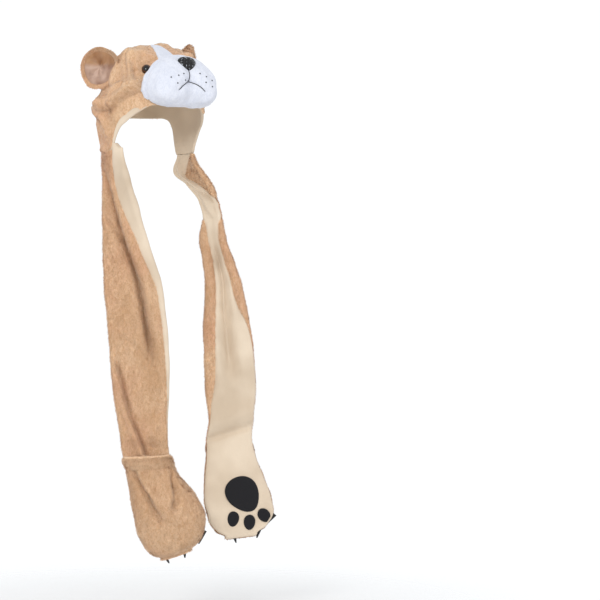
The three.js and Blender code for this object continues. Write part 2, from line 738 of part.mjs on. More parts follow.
function pocketRoom(tail, top, wall) {
  const length = (1 - top) * tail.drop;
  const inside = wall > 0;
  const section = (along, lift) => {
    const toe = 1 + pawTip / tail.drop;
    const { half, middle, across, out } = tailFrame(tail, top + (toe - top) * along);
    const hem = !inside && along * length < cuffHeight ? cuffWall - plushWall : 0;
    const a = half - edgeRadius * 0.35 - wall;
    const b = halfPuff + pocketDepth * column(POCKET, "along", "depth", along) - wall + hem;
    return Array.from({ length: 10 }, (_, j) => {
      const turn = (Math.PI * j) / 9;
      const n = b * Math.max(Math.sin(turn), 0) ** 0.85 * tail.plushFace;
      return middle
        .clone()
        .addScaledVector(across, a * Math.cos(turn))
        .addScaledVector(out, n)
        .add(new THREE.Vector3(0, 0, lift));
    });
  };
  const rows = pocketRows.filter((along) => !inside || along < 0.99);
  const sections = rows.map((along) => section(along, 0));
  if (inside) sections.unshift(section(0, cuffHeight));
  return solidOf(loft(sections));
}

// Three claws and four pads a paw: out is across the paw from its middle line and up is
// above the toes, both in mm, turn is how far it leans towards the paw's +across side.
const CLAWS = {
  right: [
    { name: "inner", out: 49, up: 16, turn: 38 },
    { name: "middle", out: 15, up: 0, turn: 14 },
    { name: "outer", out: -20, up: 0, turn: -12 },
  ],
  left: [
    { name: "inner", out: -12, up: 0, turn: -12 },
    { name: "middle", out: 32, up: 4, turn: 20 },
    { name: "outer", out: 55, up: 24, turn: 45 },
  ],
};
const PADS = [
  { name: "main_pad", out: 10, up: 68, turn: -20, wide: padWidth, long: padLength, egg: 0.2 },
  { name: "toe_pad_inner", out: -15, up: 29, turn: 8, wide: toePadWidth, long: toePadLength, egg: 0.1 },
  { name: "toe_pad_middle", out: 13, up: 20, turn: 0, wide: toePadWidth, long: toePadLength, egg: 0.1 },
  { name: "toe_pad_outer", out: 39, up: 29, turn: -35, wide: toePadWidth, long: toePadLength, egg: 0.1 },
];

for (const [name, tail] of Object.entries(tails)) {
  const top = cuffTop[name];
  const near = [...downs[name].filter((down) => down > top - 0.1), 1 + seatGap / tail.drop];
  const seated = tailSeat(name, near, seatGap);
  const pocket = pocketRoom(tail, top, 0).subtract(pocketRoom(tail, top, plushWall)).subtract(seated);
  add(name + "_paw_pocket", "plush", mainBody(pocket));

  const tip = tailFrame(tail, 1);
  const up = new THREE.Vector3().crossVectors(tip.out, tip.across).negate();
  if (up.z < 0) up.negate();
  const spot = (out, high) =>
    tip.middle.clone().addScaledVector(tip.across, out).addScaledVector(up, high);

  const filled = tailSeat(name, near, seatGap).add(tailRoom(tail, near, seatGap));
  const clawSeat = filled.add(pocketRoom(tail, top, -seatGap));
  for (const claw of CLAWS[name]) {
    const cone = new THREE.CylinderGeometry(clawWidth / 2, 0.8, clawLength, 8, 1);
    const axis = up.clone().applyAxisAngle(tip.out, rad(claw.turn));
    const frame = new THREE.Matrix4().makeRotationFromQuaternion(
      new THREE.Quaternion().setFromUnitVectors(new THREE.Vector3(0, 1, 0), axis),
    );
    frame.setPosition(spot(claw.out, claw.up));
    const horn = solidOf(cone.applyMatrix4(frame)).subtract(clawSeat);
    add(name + "_claw_" + claw.name, "gloss", mainBody(horn));
  }

  // Each pad is a thin layer laid over the lining, cut to its outline.
  const layer = tailSeat(name, near, seatGap + padWall).subtract(seated);
  for (const pad of PADS) {
    const points = Array.from({ length: 14 }, (_, j) => {
      const turn = (2 * Math.PI * j) / 14;
      const y = Math.sin(turn);
      const x = Math.cos(turn) * (1 + pad.egg * y);
      return new THREE.Vector2((x * pad.wide) / 2, (y * pad.long) / 2);
    });
    const outline = new THREE.Shape(points);
    const cut = new THREE.ExtrudeGeometry(outline, { depth: 4 * edgeRadius, bevelEnabled: false });
    cut.rotateZ(-rad(pad.turn));
    const down = 1 - pad.up / tail.drop;
    const here = tailFrame(tail, down);
    const step = (3 * foldSize) / tail.drop;
    const below = tailFrame(tail, Math.min(down + step, 1)).middle;
    const along = tailFrame(tail, down - step).middle.sub(below).normalize();
    const palm = new THREE.Vector3().crossVectors(here.across, along);
    if (palm.dot(here.out) * tail.plushFace > 0) palm.negate();
    const across = new THREE.Vector3().crossVectors(along, palm).normalize();
    const upwards = new THREE.Vector3().crossVectors(palm, across);
    const frame = new THREE.Matrix4().makeBasis(across, upwards, palm);
    frame.setPosition(here.middle.clone().addScaledVector(across, pad.out));
    add(name + "_" + pad.name, "felt", mainBody(layer.intersect(solidOf(cut.applyMatrix4(frame)))));
  }
}

export default root;
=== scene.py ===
# %% [markdown]
# # An animal hood scarf in plush, fleece and satin
# The real thing is a soft dog-head hood. Its two ear flaps run on into long flat tails,
# and each tail ends in a paw with a mitten pocket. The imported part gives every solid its
# place, and this notebook dresses them: it rebuilds each cloth piece as a smooth skin from
# the same sizes, stuffs the muzzle with a cloth simulation, and lays short pile on the plush.
# All lengths are metres. The face looks along -Y and +X is the wearer's left.

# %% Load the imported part
import math

import bpy
import numpy as np
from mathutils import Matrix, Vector


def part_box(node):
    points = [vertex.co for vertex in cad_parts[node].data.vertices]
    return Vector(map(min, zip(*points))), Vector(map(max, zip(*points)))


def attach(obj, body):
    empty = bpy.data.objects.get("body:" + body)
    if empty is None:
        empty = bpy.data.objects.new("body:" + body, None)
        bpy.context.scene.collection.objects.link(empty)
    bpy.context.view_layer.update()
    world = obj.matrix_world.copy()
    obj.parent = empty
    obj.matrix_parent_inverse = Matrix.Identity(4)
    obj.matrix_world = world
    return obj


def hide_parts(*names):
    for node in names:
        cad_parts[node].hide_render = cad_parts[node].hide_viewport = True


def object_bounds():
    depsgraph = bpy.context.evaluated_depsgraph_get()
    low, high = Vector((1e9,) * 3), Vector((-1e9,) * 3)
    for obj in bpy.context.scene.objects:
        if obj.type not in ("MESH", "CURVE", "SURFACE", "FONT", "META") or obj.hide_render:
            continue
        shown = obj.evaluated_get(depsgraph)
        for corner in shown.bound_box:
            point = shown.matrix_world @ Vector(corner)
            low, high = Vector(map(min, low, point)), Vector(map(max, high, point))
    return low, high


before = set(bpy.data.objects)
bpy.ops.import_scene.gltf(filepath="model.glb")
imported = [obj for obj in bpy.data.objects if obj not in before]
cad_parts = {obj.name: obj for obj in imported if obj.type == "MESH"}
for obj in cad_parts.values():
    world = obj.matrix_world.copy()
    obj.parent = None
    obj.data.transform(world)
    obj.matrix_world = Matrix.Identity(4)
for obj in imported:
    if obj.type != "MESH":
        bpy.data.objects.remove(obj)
cad_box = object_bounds()
print("packed nodes:", len(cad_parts))

# %% [markdown]
# ## Camera, floor and light
# The photograph is taken from the wearer's right, level with the middle of the scarf and
# from a few metres away, and the scarf hangs in the left half of the picture. A level
# camera with a long lens, aimed beside the scarf, gives the same view.

# %% Camera
pixel = 0.00175  # one pixel of the photograph, at the hood
camera_turn = math.radians(-36)
camera_distance = 4.0
to_right = Vector((math.cos(camera_turn), math.sin(camera_turn), 0))
to_camera = Vector((math.sin(camera_turn), -math.cos(camera_turn), 0))
hood_axis_pixel, crown_pixel, picture_size = 150, 55, 600
aim = to_right * (picture_size / 2 - hood_axis_pixel) * pixel
aim.z = -(picture_size / 2 - crown_pixel) * pixel

camera_data = bpy.data.cameras.new("camera")
camera_data.sensor_width = 36
camera_data.lens = 36 * camera_distance / (picture_size * pixel)
camera = bpy.data.objects.new("camera", camera_data)
camera.location = aim + to_camera * camera_distance
camera.rotation_euler = (math.radians(90), 0, camera_turn)
bpy.context.scene.collection.objects.link(camera)
bpy.context.scene.camera = camera
print("lens", round(camera_data.lens, 1), "mm")

# %% [markdown]
# A pale floor lies below the paws, and it fades into a white studio at its edge, so that no
# horizon crosses the picture. One large soft lamp from the upper left shapes the folds, a
# second fills in from the right, and the white studio around lights the rest.

# %% Floor
def add_node(tree, kind, inputs=(), **settings):
    """A shader node with its settings, and each input as a number or a link."""
    made = tree.nodes.new("ShaderNode" + kind)
    for key, value in settings.items():
        setattr(made, key, value)
    for socket, value in dict(inputs).items():
        if isinstance(value, bpy.types.NodeSocket):
            tree.links.new(value, made.inputs[socket])
        else:
            made.inputs[socket].default_value = value
    return made


def new_material(name, **sockets):
    """A material with only its Principled shader, and that shader's own plain values."""
    material = bpy.data.materials.new(name)
    material.use_nodes = True
    shader = material.node_tree.nodes["Principled BSDF"]
    for socket, value in sockets.items():
        shader.inputs[socket.replace("_", " ").title().replace("Ior", "IOR")].default_value = value
    return material, material.node_tree, shader


floor_height = cad_box[0].z - 0.1
bpy.ops.mesh.primitive_circle_add(vertices=96, radius=2.6, fill_type="NGON", location=(0, 0, floor_height))
floor = bpy.context.object
floor.name = "floor"
floor_material, tree, shader = new_material("pale floor", roughness=0.9)
shader.inputs["Base Color"].default_value = (0.86, 0.86, 0.86, 1)
where = add_node(tree, "TexCoord").outputs["Object"]
away = add_node(tree, "VectorMath", {0: where}, operation="LENGTH").outputs["Value"]
fade = add_node(tree, "MapRange", {"Value": away, "From Min": 0.15, "From Max": 0.9, "To Min": 0.8, "To Max": 0},
                interpolation_type="SMOOTHSTEP")
tree.links.new(fade.outputs["Result"], shader.inputs["Alpha"])
floor.data.materials.append(floor_material)

# %% Lamps and the white studio
def area_lamp(name, place, size, power):
    lamp = bpy.data.objects.new(name, bpy.data.lights.new(name, "AREA"))
    lamp.data.size, lamp.data.energy = size, power
    lamp.location = place
    lamp.rotation_euler = (aim - Vector(place)).to_track_quat("-Z", "Y").to_euler()
    bpy.context.scene.collection.objects.link(lamp)


area_lamp("key", (-2.4, -1.9, 0.9), 0.8, 33)
area_lamp("fill", (0.9, -2.9, -0.4), 2.0, 11)
studio = bpy.data.worlds.new("studio")
bpy.context.scene.world = studio
studio.use_nodes = True
tree = studio.node_tree
seen = add_node(tree, "LightPath").outputs["Is Camera Ray"]
strength = add_node(tree, "MapRange", {"Value": seen, "To Min": 0.92, "To Max": 1.05})
tree.links.new(strength.outputs["Result"], tree.nodes["Background"].inputs["Strength"])
tree.nodes["Background"].inputs["Color"].default_value = (0.97, 0.985, 1, 1)
bpy.context.scene.view_settings.view_transform = "Standard"

# %% [markdown]
# ## Shapes that the pieces share
# Short tables give the shape of the flaps, the padding and the tails, one row for each
# section, and one smooth curve runs through each of their columns. Every cloth piece is
# then a skin over rows of closed rings, so each mesh is closed and has real thickness.

# %% Curves through tables
def table(columns, *rows):
    """A table by its columns, the first of which the others are read by."""
    return dict(zip(columns.split(), np.array(rows, float).T))


def curve(rows, name, at):
    """A column at any place, as a smooth curve that never overshoots the rows."""
    x, y = next(iter(rows.values())), rows[name]
    at = np.clip(np.asarray(at, float), x[0], x[-1])
    slope = np.diff(y) / np.diff(x)
    before, after = slope[:-1], slope[1:]
    same_way = before * after > 0
    tangent = np.zeros(len(x))
    tangent[1:-1] = np.where(same_way, 2 * before * after / np.where(same_way, before + after, 1), 0)
    i = np.clip(np.searchsorted(x, at, side="right") - 1, 0, len(x) - 2)
    step = x[i + 1] - x[i]
    t = (at - x[i]) / step
    return ((2 * t**3 - 3 * t**2 + 1) * y[i] + (t**3 - 2 * t**2 + t) * step * tangent[i]
            + (3 * t**2 - 2 * t**3) * y[i + 1] + (t**3 - t**2) * step * tangent[i + 1])


def smooth(low, high, x):
    t = np.clip((np.asarray(x, float) - low) / (high - low), 0, 1)
    return t * t * (3 - 2 * t)


def stack(*parts):
    """Points from their coordinates, which may be numbers or grids."""
    return np.stack(np.broadcast_arrays(*parts), -1).astype(float)


def ripple(points, size, seed):
    """Smooth random waves about that far apart, from -1 to 1 and the same each run."""
    rng = np.random.default_rng(seed)
    ways = rng.normal(size=(14, 3))
    ways *= (2 * np.pi / size / np.linalg.norm(ways, axis=1) * rng.uniform(0.6, 1.5, 14))[:, None]
    phases = rng.uniform(0, 2 * np.pi, 14)
    return np.sin(points @ ways.T + phases).sum(-1) / 5.5

# %% Skins
def grid_normals(points, ring=False):
    """Normals of a grid of points, facing out where rows run down and columns run clockwise."""
    down = np.gradient(points, axis=0)
    if ring:
        across = np.roll(points, -1, axis=1) - np.roll(points, 1, axis=1)
    else:
        across = np.gradient(points, axis=1)
    normals = np.cross(down, across)
    return normals / np.maximum(np.linalg.norm(normals, axis=-1, keepdims=True), 1e-12)


def edge_arc(start, end, outwards, steps=4, bulge=1.0):
    """Rows of a half round edge from one line of points to another, or of a flatter one."""
    middle, reach = (start + end) / 2, (start - end) / 2
    outwards = outwards / np.maximum(np.linalg.norm(outwards, axis=-1, keepdims=True), 1e-12)
    outwards = outwards * np.linalg.norm(reach, axis=-1, keepdims=True) * np.reshape(bulge, (-1, 1))
    turns = np.pi * np.arange(1, steps) / steps
    return np.stack([middle + reach * math.cos(turn) + outwards * math.sin(turn) for turn in turns])


def skin(name, rings):
    """A closed smooth mesh over rows of closed rings, each end drawn to a point."""
    rows, columns, _ = rings.shape
    points = np.concatenate([rings.reshape(-1, 3), rings[:1].mean(1), rings[-1:].mean(1)])
    index = np.arange(rows * columns).reshape(rows, columns)
    side = np.roll(index, -1, axis=1)
    quads = np.stack([index[:-1], side[:-1], side[1:], index[1:]], -1).reshape(-1, 4)
    top, bottom = rows * columns, rows * columns + 1
    faces = quads.tolist()
    faces += [[top, side[0, i], index[0, i]] for i in range(columns)]
    faces += [[bottom, index[-1, i], side[-1, i]] for i in range(columns)]
    mesh = bpy.data.meshes.new(name)
    mesh.from_pydata(points.tolist(), [], faces)
    mesh.update()
    corners = np.array([mesh.vertices[v].co for t in mesh.loop_triangles for v in t.vertices])
    a, b, c = corners.reshape(-1, 3, 3).transpose(1, 0, 2)
    if np.einsum("ij,ij->i", a, np.cross(b, c)).sum() < 0:
        mesh.flip_normals()
    mesh.polygons.foreach_set("use_smooth", [True] * len(mesh.polygons))
    piece = bpy.data.objects.new(name, mesh)
    bpy.context.scene.collection.objects.link(piece)
    return piece


def dress(piece, material, slot, *nodes):
    """Gives a piece its finish, hangs it on the root body and hides the solids it stands for."""
    piece.data.materials.clear()
    piece.data.materials.append(material)
    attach(piece, "root")
    if nodes:
        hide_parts(*nodes)
    print(piece.name, len(piece.data.polygons), "faces")
    return piece

# %% [markdown]
# ## Finishes
# Plush is a knit with short pile. Where the pile is brushed another way it turns darker or
# redder, in patches of a few centimetres; the darker patches are painted shade that stands
# in for the sheen of the brushed pile. Between the hairs there is a fine grain, and smaller
# tufts get painted shade in the partings between them. All of these depend only on the place
# on the cloth, so one shader group makes them, and the plush and the loose pile on it share
# it and match. Fleece has the grain alone, far flatter.

# %% Group for brushed pile
def new_group(name, inputs, outputs):
    group = bpy.data.node_groups.new(name, "ShaderNodeTree")
    for label, kind, value in inputs:
        made = group.interface.new_socket(label, in_out="INPUT", socket_type="NodeSocket" + kind)
        made.default_value = value
    for label, kind in outputs:
        group.interface.new_socket(label, in_out="OUTPUT", socket_type="NodeSocket" + kind)
    return group, group.nodes.new("NodeGroupInput").outputs, group.nodes.new("NodeGroupOutput").inputs


def blend_colours(tree, amount, first, second):
    return add_node(tree, "Mix", {0: amount, 6: first, 7: second}, data_type="RGBA").outputs[2]


pile_group, given, result = new_group(
    "brushed pile",
    [("Light", "Color", (1, 1, 1, 1)), ("Dark", "Color", (1, 1, 1, 1)), ("Rosy", "Color", (1, 1, 1, 1)),
     ("Patch Scale", "Float", 24), ("Tuft Scale", "Float", 150), ("Grain Scale", "Float", 700)],
    [("Color", "Color"), ("Height", "Float")])
where = add_node(pile_group, "TexCoord").outputs["Object"]
combed = add_node(pile_group, "Mapping", {"Vector": where, "Scale": (1, 1, 0.55)}).outputs["Vector"]
patches = add_node(pile_group, "TexNoise", {"Vector": combed, "Scale": given["Patch Scale"], "Detail": 3.0,
                                            "Roughness": 0.6, "Distortion": 0.7}).outputs["Fac"]
rosy = add_node(pile_group, "TexNoise", {"Vector": where, "Scale": 9.0, "Detail": 2.0}).outputs["Fac"]
grain = add_node(pile_group, "TexNoise", {"Vector": combed, "Scale": given["Grain Scale"], "Detail": 2.0,
                                          "Roughness": 0.7}).outputs["Fac"]
tufts = add_node(pile_group, "TexNoise", {"Vector": combed, "Scale": given["Tuft Scale"], "Detail": 2.0,
                                          "Roughness": 0.6, "Distortion": 1.2}).outputs["Fac"]
# Painted shade: darker patches stand in for the sheen of pile brushed another way.
darker = add_node(pile_group, "MapRange", {"Value": patches, "From Min": 0.42, "From Max": 0.72,
                                           "To Max": 0.45}).outputs[0]
# Painted shade in the partings between tufts, where their bump dips.
parting_shade = add_node(pile_group, "MapRange", {"Value": tufts, "From Min": 0.44, "From Max": 0.66,
                                           "To Max": 0.65}).outputs[0]
redder = add_node(pile_group, "MapRange", {"Value": rosy, "From Min": 0.46, "From Max": 0.7,
                                           "To Max": 0.75}).outputs[0]
speck = add_node(pile_group, "MapRange", {"Value": grain, "From Min": 0.3, "From Max": 0.75,
                                          "To Min": 0.0, "To Max": 0.5}).outputs[0]
colour = blend_colours(pile_group, darker, given["Light"], given["Dark"])
colour = blend_colours(pile_group, redder, colour, given["Rosy"])
colour = blend_colours(pile_group, speck, colour, given["Dark"])
colour = blend_colours(pile_group, parting_shade, colour, given["Dark"])
height = add_node(pile_group, "Math", {0: tufts, 1: -2.5, 2: grain}, operation="MULTIPLY_ADD").outputs[0]
pile_group.links.new(colour, result["Color"])
pile_group.links.new(height, result["Height"])

# %% Group for fleece nap
nap_group, given, result = new_group(
    "fleece nap",
    [("Light", "Color", (1, 1, 1, 1)), ("Shade", "Color", (1, 1, 1, 1)), ("Nap Scale", "Float", 1100)],
    [("Color", "Color"), ("Height", "Float")])
where = add_node(nap_group, "TexCoord").outputs["Object"]
nap = add_node(nap_group, "TexNoise", {"Vector": where, "Scale": given["Nap Scale"], "Detail": 3.0,
                                       "Roughness": 0.65}).outputs["Fac"]
cloudy = add_node(nap_group, "TexNoise", {"Vector": where, "Scale": 14.0, "Detail": 2.0}).outputs["Fac"]
cloud = add_node(nap_group, "MapRange", {"Value": cloudy, "From Min": 0.35, "From Max": 0.7}).outputs[0]
fleck = add_node(nap_group, "MapRange", {"Value": nap, "From Min": 0.35, "From Max": 0.7,
                                         "To Max": 0.35}).outputs[0]
colour = blend_colours(nap_group, cloud, given["Light"], given["Shade"])
colour = blend_colours(nap_group, fleck, colour, given["Shade"])
nap_group.links.new(colour, result["Color"])
nap_group.links.new(nap, result["Height"])
print("groups:", [group.name for group in bpy.data.node_groups])

# %% Cloth materials
def linear(red, green, blue):
    """A colour as it looks on screen, from 0 to 255, as the shader wants it."""
    return tuple(((v / 255 + 0.055) / 1.055) ** 2.4 for v in (red, green, blue)) + (1.0,)


def cloth_material(name, group, colours, scales, bump, sheen, pile=False):
    """A cloth with its colours and its bump from a shader group. Loose pile gets painted shade at its root and painted
    light at its tip.
    """
    material, tree, shader = new_material(name, roughness=0.9, sheen_weight=sheen, sheen_roughness=0.45,
                                          specular_ior_level=0.15)
    made = add_node(tree, "Group", node_tree=group)
    for socket, value in {**colours, **scales}.items():
        made.inputs[socket].default_value = value
    colour = made.outputs["Color"]
    if pile:
        # Painted shade at each blade's root and painted light at its tip, read from the shade attribute.
        shade = add_node(tree, "Attribute", attribute_name="shade").outputs["Fac"]
        colour = add_node(tree, "Mix", {0: 1.0, 6: colour, 7: shade}, data_type="RGBA",
                          blend_type="MULTIPLY").outputs[2]
    else:
        lifted = add_node(tree, "Bump", {"Height": made.outputs["Height"], "Strength": bump, "Distance": 0.001})
        tree.links.new(lifted.outputs["Normal"], shader.inputs["Normal"])
    tree.links.new(colour, shader.inputs["Base Color"])
    return material


tan = {"Light": linear(241, 208, 173), "Dark": linear(206, 161, 118), "Rosy": linear(232, 185, 153)}
white = {"Light": linear(226, 228, 236), "Dark": linear(203, 207, 220), "Rosy": linear(216, 219, 229)}
cream = {"Light": linear(225, 208, 186), "Shade": linear(200, 181, 158)}
tan_scales = {"Patch Scale": 24.0, "Tuft Scale": 250.0, "Grain Scale": 800.0}
white_scales = {"Patch Scale": 40.0, "Tuft Scale": 260.0, "Grain Scale": 900.0}
plush = cloth_material("tan plush", pile_group, tan, tan_scales, 0.6, 0.25)
plush_pile = cloth_material("tan plush pile", pile_group, tan, tan_scales, 0, 0.3, pile=True)
white_plush = cloth_material("white plush", pile_group, white, white_scales, 0.35, 0.2)
fleece = cloth_material("cream fleece", nap_group, cream, {"Nap Scale": 1100.0}, 0.35, 0.2)

# %% [markdown]
# ## Hood
# The hood is a dome with two ear flaps, padded into a brow, temples and cheeks. It is a
# surface over angle and drop: the angle goes round the head from the front, and the drop
# goes down from the crown to a rim whose depth a table gives. The padding is a lift along
# lines drawn on that surface.

# %% Hood sizes and tables
plush_wall, lining_wall, layer_gap = 0.003, 0.0018, 0.0004
shell_wall = lining_wall + layer_gap + plush_wall
head_width, head_length, crown_height = 0.168, 0.198, 0.108
brow_drop, nape_drop, flap_drop, flap_taper = 0.092, 0.102, 0.170, 0.96

flap_share = table(
    "at share",
    (0, 0), (34, 0.03), (46, 0.14), (56, 0.26), (64, 0.38), (70, 0.46), (76, 0.61), (81, 0.8), (85, 1),
    (110, 1), (113, 0.75), (117, 0.3), (123, 0.06), (132, 0), (180, 0))

# Lines of padding: places as angle and share of crown_height, then width and height.
padding_lines = {
    "crown": ([(0, 0), (180, 0.02)], 0.042, 0.010),
    "crown_side": ([(70, 0.14), (112, 0.13)], 0.027, 0.010),
    "brow": ([(46, 0.17), (58, 0.22)], 0.016, 0.007),
    "socket": ([(38, 0.34), (48, 0.36)], 0.012, -0.008),
    "temple_front": ([(62, 0.24), (60, 0.56)], 0.013, 0.013),
    "temple_back": ([(80, 0.14), (80, 0.62)], 0.01, 0.007),
    "cheek": ([(52, 0.62), (72, 0.76), (106, 0.92)], 0.012, 0.012),
    "nape_roll": ([(92, 0.84), (126, 0.8), (180, 0.8)], 0.012, 0.006),
}

# %% The hood as a surface
def rim_drop(degrees):
    at = np.abs(degrees)
    base = brow_drop + (nape_drop - brow_drop) * smooth(60, 130, at)
    return base + (flap_drop - base) * curve(flap_share, "share", at)


def hood_at(degrees, drop, outside):
    """A point at an angle from the front and a drop, that far outside the lining's inner face."""
    angle = np.radians(degrees)
    lean = smooth(crown_height, flap_drop, drop) * (1 - flap_taper)
    turn = np.arccos(np.clip(1 - drop / crown_height, 0, 1))
    around = np.sin(turn) * (1 - lean)
    z = np.where(drop < crown_height, (crown_height + outside) * np.cos(turn) - crown_height, -drop)
    return stack(-(head_width / 2 + outside) * around * np.sin(angle),
                 -(head_length / 2 + outside) * around * np.cos(angle), z)


def hood_drop(degrees, share):
    """Drops evenly spaced along the hood from the crown to the rim."""
    rim = rim_drop(degrees)
    dome = (head_width + head_length) / 4
    whole = np.pi / 2 * dome
    length = np.where(rim < crown_height, np.arccos(np.clip(1 - rim / crown_height, -1, 1)) * dome,
                      whole + rim - crown_height)
    along = share * length
    return np.where(along < whole, crown_height * (1 - np.cos(np.minimum(along / dome, np.pi / 2))),
                    crown_height + along - whole)


def near_line(points, line):
    """How far each point is from a line through some places."""
    near = np.full(points.shape[:-1], np.inf)
    for a, b in zip(line[:-1], line[1:]):
        t = np.clip(((points - a) @ (b - a)) / ((b - a) @ (b - a)), 0, 1)
        near = np.minimum(near, np.linalg.norm(points - a - t[..., None] * (b - a), axis=-1))
    return near


def padding(points):
    folded = points * [1, 1, 1]
    folded[..., 0] = -np.abs(folded[..., 0])
    lift = 0
    for line, width, height in padding_lines.values():
        places = np.array([hood_at(at, drop * crown_height, shell_wall) for at, drop in line])
        lift = lift + height * np.exp(-((near_line(folded, places) / width) ** 2))
    return np.maximum(lift, 0) * smooth(flap_drop, crown_height, -points[..., 2])


def plush_at(degrees, drop, more=0.0):
    """A point of the plush's outer face, plus a little. No fold goes deeper than the wall allows."""
    lift = padding(hood_at(degrees, drop, shell_wall)) + more
    return hood_at(degrees, drop, shell_wall + np.maximum(lift, -0.0012))


hood_rows, hood_columns = 92, 216
hood_angles = np.linspace(-180, 180, hood_columns, endpoint=False)[None, :]
hood_shares = np.append(np.linspace(0.012, 0.9975, hood_rows - 1), 1)[:, None]
hood_drops = hood_drop(hood_angles, hood_shares)

# %% [markdown]
# The lining is folded over the front edge of each flap, so a cream strip shows along the
# opening there. The plush stops short of the rim by that strip's width, and the lining runs
# round the edge to meet it.

# %% Hood plush and lining
turned_over = table("at width", (0, 0), (44, 0), (54, 0.011), (66, 0.013), (76, 0.009), (83, 0.005), (90, 0), (180, 0))


# Creases and rolls in the plush: places as angle and share of crown_height, then width and height.
plush_folds = [
    ([(73, 0.2), (66, 0.38), (57, 0.62)], 0.0045, -0.007),
    ([(69, 0.24), (62, 0.4), (54, 0.6)], 0.005, 0.0045),
    ([(60, 0.26), (56, 0.39), (51, 0.52)], 0.004, -0.0065),
    ([(82, 0.3), (76, 0.46), (68, 0.6)], 0.005, -0.006),
    ([(47, 0.5), (52, 0.64), (60, 0.7), (68, 0.77), (81, 0.87)], 0.0055, 0.006),
    ([(50, 0.72), (62, 0.8), (74, 0.92), (93, 0.97)], 0.0045, -0.007),
    ([(69, 0.82), (62, 0.9), (58, 0.99)], 0.004, -0.0055),
    ([(48, 0.2), (52, 0.27)], 0.004, -0.0035),
    ([(92, 1.0), (84, 1.1), (80, 1.25)], 0.005, -0.005),
    ([(100, 0.3), (96, 0.5), (88, 0.7)], 0.006, -0.005),
    ([(88, 0.3), (90, 0.5)], 0.013, 0.008),
    ([(86, 0.62), (96, 0.72), (112, 0.74)], 0.0055, -0.0065),
    ([(72, 0.55), (84, 0.66), (98, 0.84)], 0.0055, 0.005),
    ([(110, 0.96), (100, 1.06), (90, 1.3)], 0.006, 0.003),
]


# The stuffing is pushed up a little on the wearer's left of the crown.
crown_left = np.array([[0.026, -0.004, 0.006], [0.048, 0.004, 0]])


def hood_wrinkles(points):
    """Folds in the plush, and shallow slack, most of it on the cheeks and the flaps."""
    slack = smooth(-0.02, -0.12, points[..., 2])
    lift = ripple(points * [1, 1, 0.7], 0.034, 3) * (0.001 + 0.0016 * slack)
    lift = lift + ripple(points, 0.017, 4) * 0.0011 + ripple(points, 0.009, 14) * 0.0006
    lift = lift + 0.008 * np.exp(-((near_line(points, crown_left) / 0.02) ** 2))
    for line, width, height in plush_folds:
        places = plush_at(*(np.array(v) * k for v, k in zip(zip(*line), (1, crown_height))))
        near = np.minimum(near_line(points, places), near_line(points * [-1, 1, 1], places))
        lift = lift + height * np.exp(-((near / width) ** 2))
    return lift


strip = curve(turned_over, "width", np.abs(hood_angles))
bulge = 1 - 0.9 * smooth(0.9, 1, curve(flap_share, "share", np.abs(hood_angles[0])))  # flat where a tail begins
hem_share = 1 - strip / 0.2
plush_drops = hood_drop(hood_angles, hood_shares * hem_share)
plush_outer = plush_at(hood_angles, plush_drops)
plush_outer = plush_at(hood_angles, plush_drops, hood_wrinkles(plush_outer))
plush_inner = hood_at(hood_angles, plush_drops, lining_wall + layer_gap)
hem = edge_arc(plush_outer[-1], plush_inner[-1], plush_outer[-1] - plush_outer[-3], 4, bulge)
hood_shell = skin("hood_plush", np.concatenate([plush_outer, hem, plush_inner[::-1]]))
dress(hood_shell, plush, "plush", "hood_shell")

lining_inner = hood_at(hood_angles, hood_drops, 0.0)
rolled = 1 - (strip / 0.2) * np.linspace(0, 1, 9)[::-1][:, None]
rolled_drops = hood_drop(hood_angles, rolled)
rolled_out = hood_at(hood_angles, rolled_drops, shell_wall - 0.0006 + 0.0006 * (strip > 0.001))
lining_outer = hood_at(hood_angles, hood_drops[:-6], lining_wall)
turn_in = hood_at(hood_angles, rolled_drops[:1], lining_wall)
beyond = rolled_out[-1] - plush_at(hood_angles, hood_drops[-4:-3])[0]
edge = edge_arc(rolled_out[-1], lining_inner[-1], beyond, 4, bulge)
lining = skin("hood_fleece", np.concatenate([lining_outer, turn_in, rolled_out, edge, lining_inner[::-1]]))
dress(lining, fleece, "fleece_lining", "hood_lining")

# %% [markdown]
# ## Muzzle
# The muzzle is a white cover stuffed hard with fibre: broad and low, with two jowls at the
# front, and pinched in at the top between the eyes. Its shape is given by a way from its
# middle. Nothing of it may reach into the hood, so a point that would is set on the plush.

# %% The muzzle as a surface
muzzle_width, muzzle_height, muzzle_reach, muzzle_back = 0.132, 0.095, 0.042, 0.050
muzzle_forward, muzzle_drop, muzzle_slope = 0.096, 0.055, 0.36
muzzle_taper, muzzle_pinch, muzzle_blocky = 0.18, 0.5, 2.7


def muzzle_at(ways):
    ways = ways / np.linalg.norm(ways, axis=-1, keepdims=True)
    across, front, up = np.abs(ways[..., 0]), -ways[..., 1], ways[..., 2]
    part = lambda length, most: np.abs(length / most) ** muzzle_blocky
    size = (part(across, muzzle_width / 2) + part(up, muzzle_height / 2)
            + part(front, np.where(front > 0, muzzle_reach, muzzle_back))) ** (-1 / muzzle_blocky)
    lobe = lambda x, z, spread: np.exp(-(((across - x) / spread) ** 2) - ((up - z) / spread) ** 2)
    jowls = 0.17 * lobe(0.58, -0.38, 0.32) - 0.11 * lobe(0, -0.62, 0.2) - 0.08 * lobe(0, -0.15, 0.22)
    p = ways * (size * (1 + jowls))[..., None]
    high = smooth(0, muzzle_height / 2, p[..., 2])
    back = smooth(-0.35 * muzzle_reach, 0.6 * muzzle_back, p[..., 1])
    return stack(p[..., 0] * (1 - high * (muzzle_taper + muzzle_pinch * back)),
                 p[..., 1] + muzzle_slope * np.maximum(p[..., 2], 0) - muzzle_forward,
                 p[..., 2] - muzzle_drop)


